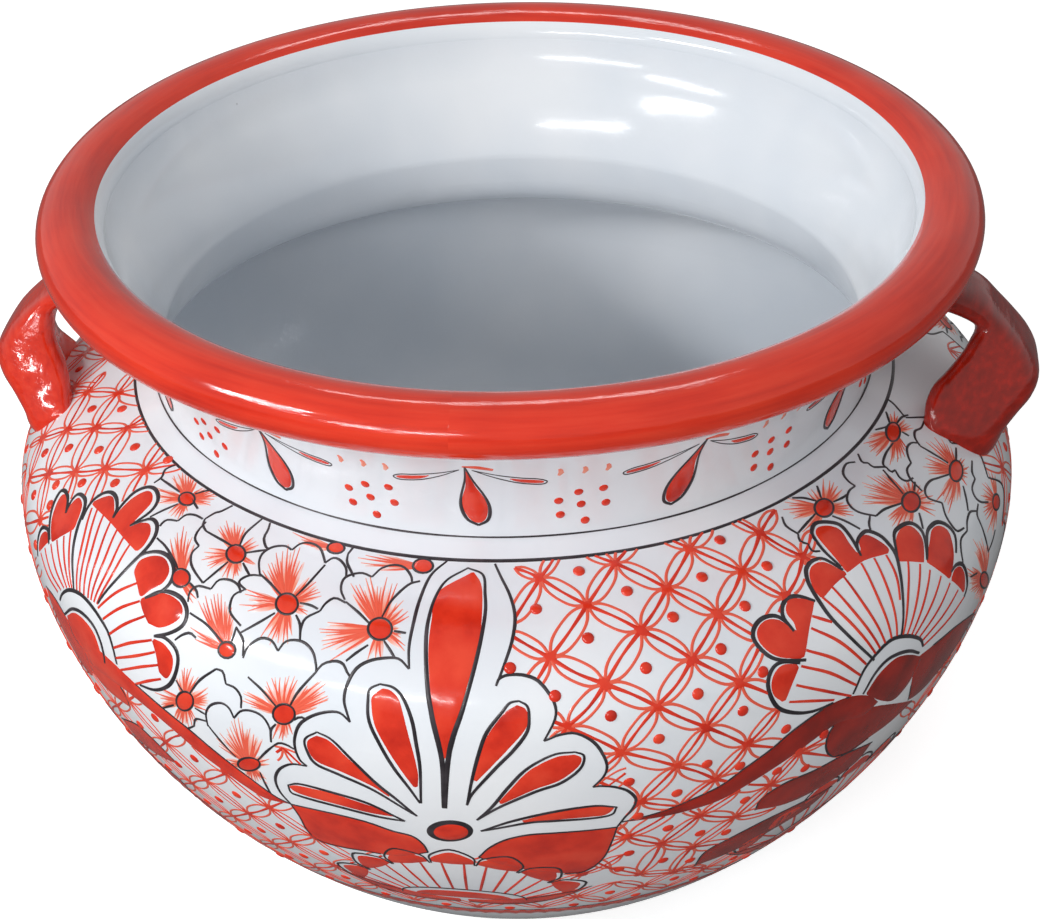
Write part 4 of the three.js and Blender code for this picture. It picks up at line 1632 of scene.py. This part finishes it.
MIDDLE_WIDTHS = (2.5, 1.4, 2.3)
KNOT_RADIUS = 2.8
KNOT_HEIGHT = 0.24


def paint_edge(start, end, weight):
    along = end - start
    bow = np.array([-along[1], along[0]]) * LATTICE_BOW
    for side in (-1, 1):
        bulges = [start + along * t + bow * side * share for t, share in BOW_SHAPE]
        widths = np.array(BOWED_WIDTHS) * weight
        stroke(LATTICE_LINES, curve([start, *bulges, end]), widths, BOWED_HEIGHT, BOWED_STRENGTH)
    wobble = bow * chance.uniform(-0.25, 0.25)
    line = curve([start, start + along * 0.5 + wobble, end])
    stroke(RED_LINES, line, np.array(MIDDLE_WIDTHS) * weight, RED_LINE_HEIGHT)


def paint_knot(place):
    if uncovered(np.array([place, place])).all():
        for shift in chance.uniform(-1, 1, (2, 2)):
            dot(RED_LINES, place + shift * 0.9, KNOT_RADIUS * chance.uniform(0.8, 1.1), KNOT_HEIGHT)


def paint_lattice(chains, dots, weight):
    knots = []
    for chain in chains:
        places = flat(chain)
        for start, end in zip(places, places[1:]):
            paint_edge(start, end, weight)
        knots += chain
    for place in flat(sorted({mark for mark in knots if knots.count(mark) > 1})):
        paint_knot(place)
    for place in flat(dots):
        free_dot(place, radius=2.7, height=1.0)


# The lattice that the photograph doesn't show, worked out in even rows

HALF_TURN = math.pi / 2 * BELLY_RADIUS
ROW_STEP = 17
COLUMN_STEP = HALF_TURN / 10
EVEN_WEIGHT = 0.8
# Where each stretch begins and ends round the pot, and how high up the wall it goes
EVEN_STRETCHES = [(-HALF_TURN, -240, 345), (-240, 60, 235), (60, 240, 128), (240, HALF_TURN + 1, 300)]
CHAINS_LEFT_END = [
    (-195, 345), (-346, 345), (-344, 313), (-330, 305), (-336, 289), (-320, 268), (-302, 260), (-286, 246),
    (-195, 238),
]
FLOWERS_RIGHT_END = 322
SCALLOP = (11, 24)
SCALLOPS_FROM = 222


def paint_even_lattice(left, right, high):
    for row in range(int((high - BOTTOM_RUN) / ROW_STEP)):
        run = BOTTOM_RUN + row * ROW_STEP
        shift = COLUMN_STEP / 2 if row % 2 else 0
        for x in np.arange(shift - HALF_TURN, HALF_TURN + 1, COLUMN_STEP):
            here = np.array([x, run])
            if left <= x <= right:
                for side in (-1, 1):
                    end = here + (side * COLUMN_STEP / 2, ROW_STEP)
                    if abs(end[0]) < HALF_TURN + 1 and end[1] < high:
                        paint_edge(here, end, EVEN_WEIGHT)
                paint_knot(here)
                if x + COLUMN_STEP / 2 < HALF_TURN:
                    free_dot(here + (COLUMN_STEP / 2, 0), radius=2.6, height=0.8)


def paint_field_ends():
    """The seen lattice on the left ends at its last knots, the flowers on the right at a row of petals."""
    cover(np.array(CHAINS_LEFT_END, float).repeat(2, 0))
    bulge, height = SCALLOP
    places = []
    for run in np.arange(SCALLOPS_FROM, RING_LOW_RUN, height):
        end = FLOWERS_RIGHT_END
        lobe = [(end, run), (end + bulge, run + height / 2), (end, run + height)]
        stroke(INK_LINES, curve(lobe), PETAL_INK, INK_HEIGHT)
        places += lobe
    places += [(240, places[-1][1]), (240, 228), (296, 222)]
    cover(np.array(places, float).repeat(2, 0))


# The neck: two charcoal rings, hanging drops with side leaves, and clusters of dots between them

RING_LOW_RUN = float(run_at(SHOULDER_Z))
RING_HIGH_RUN = float(run_at(NECK_Z))
RING_LOW_WIDTH = 2.1
RING_HIGH_WIDTH = 1.3
RING_PRESSURE = (1, 0.8, 1.1, 0.85, 1)
RING_HEIGHT = 0.2
RING_WAVE_LENGTH = 31
RING_WAVE_HEIGHT = 0.25
# The cover that keeps the fields below the rings off the neck
COVER_REACH = 400
COVER_HEIGHT = 120
PENDANT_TURNS = (-90, -59.2, -29, 1, 30.8, 62, 90)
PENDANT_LEANS = (0, 0.1, 0.1, 0.1, -0.3, -0.2, 0)
PENDANT_RUN = 361.5
PENDANT_SIDE = [(0, 23), (1.6, 13), (5, 2), (6, -5), (4.4, -11.5), (0, -14.5)]
PENDANT_RED = [(0.1, 20), (1.9, 9), (4.5, 1), (5.1, -5), (3.5, -10.8), (0, -13.2)]
SIDE_LEAF = [
    (2.5, 20.5), (12, 17), (22, 14.6), (28, 13.6), (31.5, 11.6), (29, 9.8), (20, 11.3), (11, 15.2),
    (2.5, 20.5),
]
SIDE_LEAF_RED = [(14, 15.6), (21, 14.1), (28, 13), (30.6, 11.6), (28.5, 10.2), (20, 11.6), (14, 15.6)]
BOW = [(-1, 23), (5, 22.6), (11, 21)]
CLUSTER = [(-9.6, 3.2), (-8.8, -5), (-1.3, 7.6), (0, 0), (1.9, -9.4), (9.2, 8.2), (10.7, -0.9)]
CLUSTER_DROP = 5
PENDANT_INK = (0.8, 1.2, 1.9, 1.4)
SIDE_LEAF_INK = (0.4, 0.7, 0.7, 0.7, 0.4)
SIDE_LEAF_HEIGHT = 0.2
FAINT_DOTS = [-10, 0, 9.5]


def paint_rings():
    turns = np.linspace(-math.pi / 2, math.pi / 2, 400) * BELLY_RADIUS
    wobble = np.sin(turns / RING_WAVE_LENGTH) * RING_WAVE_HEIGHT
    for run, width in ((RING_LOW_RUN, RING_LOW_WIDTH), (RING_HIGH_RUN, RING_HIGH_WIDTH)):
        line = np.stack([turns, run + wobble], 1)
        stroke(INK_LINES, line, np.array(RING_PRESSURE) * width, RING_HEIGHT)
    low, high = RING_LOW_RUN, RING_LOW_RUN + COVER_HEIGHT
    left, right = -COVER_REACH, COVER_REACH
    cover(np.array([(left, low), (right, low), (right, high), (left, high)], float).repeat(2, 0))


def paint_pendants():
    scale = np.array([BELLY_RADIUS / NECK_RADIUS, 1])
    for number, (degrees, lean) in enumerate(zip(PENDANT_TURNS, PENDANT_LEANS)):
        middle = np.array([math.radians(degrees) * BELLY_RADIUS, PENDANT_RUN])

        def place(shape, side=1):
            shape = np.array(shape) * (side, 1)
            return curve(middle + (shape + np.outer(shape[:, 1], (-lean, 0))) * scale)

        for side in (-1, 1):
            stroke(INK_LINES, place(PENDANT_SIDE, side), PENDANT_INK, INK_HEIGHT, clipped=False)
            stroke(INK_LINES, place(SIDE_LEAF, side), SIDE_LEAF_INK, SIDE_LEAF_HEIGHT, clipped=False)
            fill(RED_FILL, place(SIDE_LEAF_RED, side), grow=0.1)
        stroke(THIN_REDS, place(BOW), (1, 3, 2), height=0.14, strength=(0.7, 0.9, 0.6), clipped=False)
        red = np.array(PENDANT_RED)
        fill(RED_FILL, place(np.vstack([red, red[-2::-1] * (-1, 1)])))
        if number < len(PENDANT_TURNS) - 1:
            turn = math.radians((degrees + PENDANT_TURNS[number + 1]) / 2)
            between = np.array([turn * BELLY_RADIUS, PENDANT_RUN - CLUSTER_DROP])
            for mark in CLUSTER:
                dot(RED_LINES, between + np.array(mark) * scale, radius=2.1, height=0.6)
            for across in FAINT_DOTS:
                faint = between + np.array([(across, 20), (across + 1, 22.5), (across, 25)]) * scale
                stroke(THIN_REDS, curve(faint), (1.5, 3.4, 1.5), 0.08, strength=(0.4, 0.55), clipped=False)


# A red band closes the ornament above the base

BAND_LOW_RUN = 74
BAND_HIGH_RUN = 86
BOTTOM_RUN = 92
BAND_OVERLAP = 1.015
BAND_MARKS = 162
BAND_WAVE_LENGTH = 17
BAND_WAVE_HEIGHT = 0.4


def paint_band():
    turns = np.linspace(-BAND_OVERLAP, BAND_OVERLAP, BAND_MARKS) * HALF_TURN
    upper = np.stack([turns, BAND_HIGH_RUN + np.sin(turns / BAND_WAVE_LENGTH) * BAND_WAVE_HEIGHT], 1)
    lower = np.stack([turns[::-1], np.full(len(turns), BAND_LOW_RUN)], 1)
    fill(RED_FILL, np.vstack([upper, lower]).repeat(2, 0))
    stroke(INK_LINES, curve(upper, 3), FINE_INK)


def cover_fields():
    """The even lattice stays below the stems and outside the flower fields."""
    left = trace(LEFT_STEM[0])
    cover(np.vstack([left, [(left[-1, 0], RING_LOW_RUN), (left[0, 0], RING_LOW_RUN)]]).repeat(2, 0))
    right = trace(RIGHT_STEM[0])
    end = FLOWERS_RIGHT_END
    corners = [(right[-1, 0], RING_LOW_RUN), (end, RING_LOW_RUN), (end, right[0, 1])]
    cover(np.vstack([right, corners]).repeat(2, 0))


def paint_all():
    paint_pendants()
    paint_rings()
    paint_fan(FRONT_FAN)
    paint_palmette()
    # The right side's shell eye, stems and leaves take the darker red: painted shade.
    paint_shell(
        RIGHT_SHELL_INK, RIGHT_SHELL_RED, RIGHT_SHELL_EYE,
        RIGHT_SHELL_RIBS, RIGHT_SHELL_EDGE, SHADED_RED_FILL,
    )
    paint_shell(
        LEFT_SHELL_INK, LEFT_SHELL_RED, LEFT_SHELL_EYE,
        LEFT_SHELL_RIBS, LEFT_SHELL_EDGE, RED_FILL,
    )
    paint_stem(RIGHT_STEM, RIGHT_LEAVES, SHADED_RED_FILL)
    paint_stem(LEFT_STEM, LEFT_LEAVES, RED_FILL)
    paint_turning_leaf(RIGHT_TURNING_LEAF, SHADED_RED_FILL)
    paint_turning_leaf(LEFT_TURNING_LEAF, RED_FILL)
    for middle in SIDE_FANS:
        paint_fan(middle)
    for flower in FLOWERS_LEFT + FLOWERS_RIGHT:
        paint_flower(*flower)
    paint_lattice(CHAINS_RIGHT, DOTS_RIGHT, RIGHT_WEIGHT)
    paint_lattice(CHAINS_LEFT, DOTS_LEFT, LEFT_WEIGHT)
    cover_fields()
    paint_field_ends()
    for stretch in EVEN_STRETCHES:
        paint_even_lattice(*stretch)
    paint_band()
    for paint in (RED_FILL, SHADED_RED_FILL, RED_LINES, THIN_REDS, LATTICE_LINES, INK_LINES):
        paint.finish()


# Floor, light and camera

def add_area_light(name, place, aim, size, power):
    data = bpy.data.lights.new(name, "AREA")
    data.shape = "RECTANGLE"
    data.size, data.size_y = size
    data.energy = power
    light = bpy.data.objects.new(name, data)
    bpy.context.scene.collection.objects.link(light)
    toward = (Vector(aim) - Vector(place)).to_track_quat("-Z", "Y")
    light.matrix_world = Matrix.Translation(place) @ toward.to_matrix().to_4x4()
    return light


FLOOR_SIZE = 12
FLOOR_SEEN = (0.86, 0.86, 0.86, 1)
FLOOR_BOUNCE = (0.5, 0.49, 0.48, 1)
FLOOR_MIRRORED = (0.1, 0.1, 0.1, 1)
FLOOR_GLOW_SEEN = 0.62
FLOOR_GLOW_MIRRORED = 0.05


def add_stage():
    bpy.ops.mesh.primitive_plane_add(size=FLOOR_SIZE, location=(0, 0, 0))
    floor = bpy.context.object
    floor.name = "studio_floor"
    material = bpy.data.materials.new("pale_floor")
    material.use_nodes = True
    tree = material.node_tree
    shader = tree.nodes["Principled BSDF"].inputs
    shader["Roughness"].default_value = 0.9
    paths = add_node(tree, "LightPath").outputs
    seen_or_lit = mix_color(tree, paths["Is Camera Ray"], FLOOR_BOUNCE, FLOOR_SEEN)
    mirrored = mix_color(tree, paths["Is Glossy Ray"], seen_or_lit, FLOOR_MIRRORED)
    tree.links.new(mirrored, shader["Base Color"])
    reflected = calculate(tree, "MULTIPLY", paths["Is Glossy Ray"], FLOOR_GLOW_MIRRORED)
    glow = calculate(tree, "MULTIPLY_ADD", paths["Is Camera Ray"], FLOOR_GLOW_SEEN, reflected)
    shader["Emission Color"].default_value = (1, 1, 1, 1)
    tree.links.new(glow, shader["Emission Strength"])
    floor.data.materials.append(material)


WORLD_LIGHT = 0.42


def add_world():
    """White where the camera looks past the pot, and a weaker white as light on it."""
    world = bpy.data.worlds.new("studio")
    bpy.context.scene.world = world
    world.use_nodes = True
    tree = world.node_tree
    background = tree.nodes["Background"].inputs
    background["Color"].default_value = (1, 1, 1, 1)
    seen_directly = add_node(tree, "LightPath").outputs["Is Camera Ray"]
    strength = add_node(tree, "MapRange", {"Value": seen_directly, "To Min": WORLD_LIGHT, "To Max": 1.0})
    tree.links.new(strength.outputs["Result"], background["Strength"])


def add_lights():
    add_area_light("window_left", (-1.6, -1.25, 1.4), (0, 0, 0.2), size=(0.8, 0.08), power=18.5)
    add_area_light("window_top", (-0.1, 0.9, 2.0), (0, 0, 0.2), size=(1.0, 0.16), power=4)
    add_area_light("window_front", (-0.75, -2.2, 1.0), (0, 0, 0.15), size=(1.2, 0.06), power=10)
    soft_fill = add_area_light("window_high", (-0.35, -1.9, 1.15), (0, 0, 0.2), size=(0.6, 0.3), power=11.5)
    soft_fill.visible_glossy = False


make_foot()
make_floor()
make_bowl()
make_shoulder()
make_neck()
make_rim()
make_handle(1)
make_handle(-1)
paint_all()

add_stage()
add_world()
add_lights()
add_camera()
bpy.context.scene.view_settings.view_transform = "Standard"
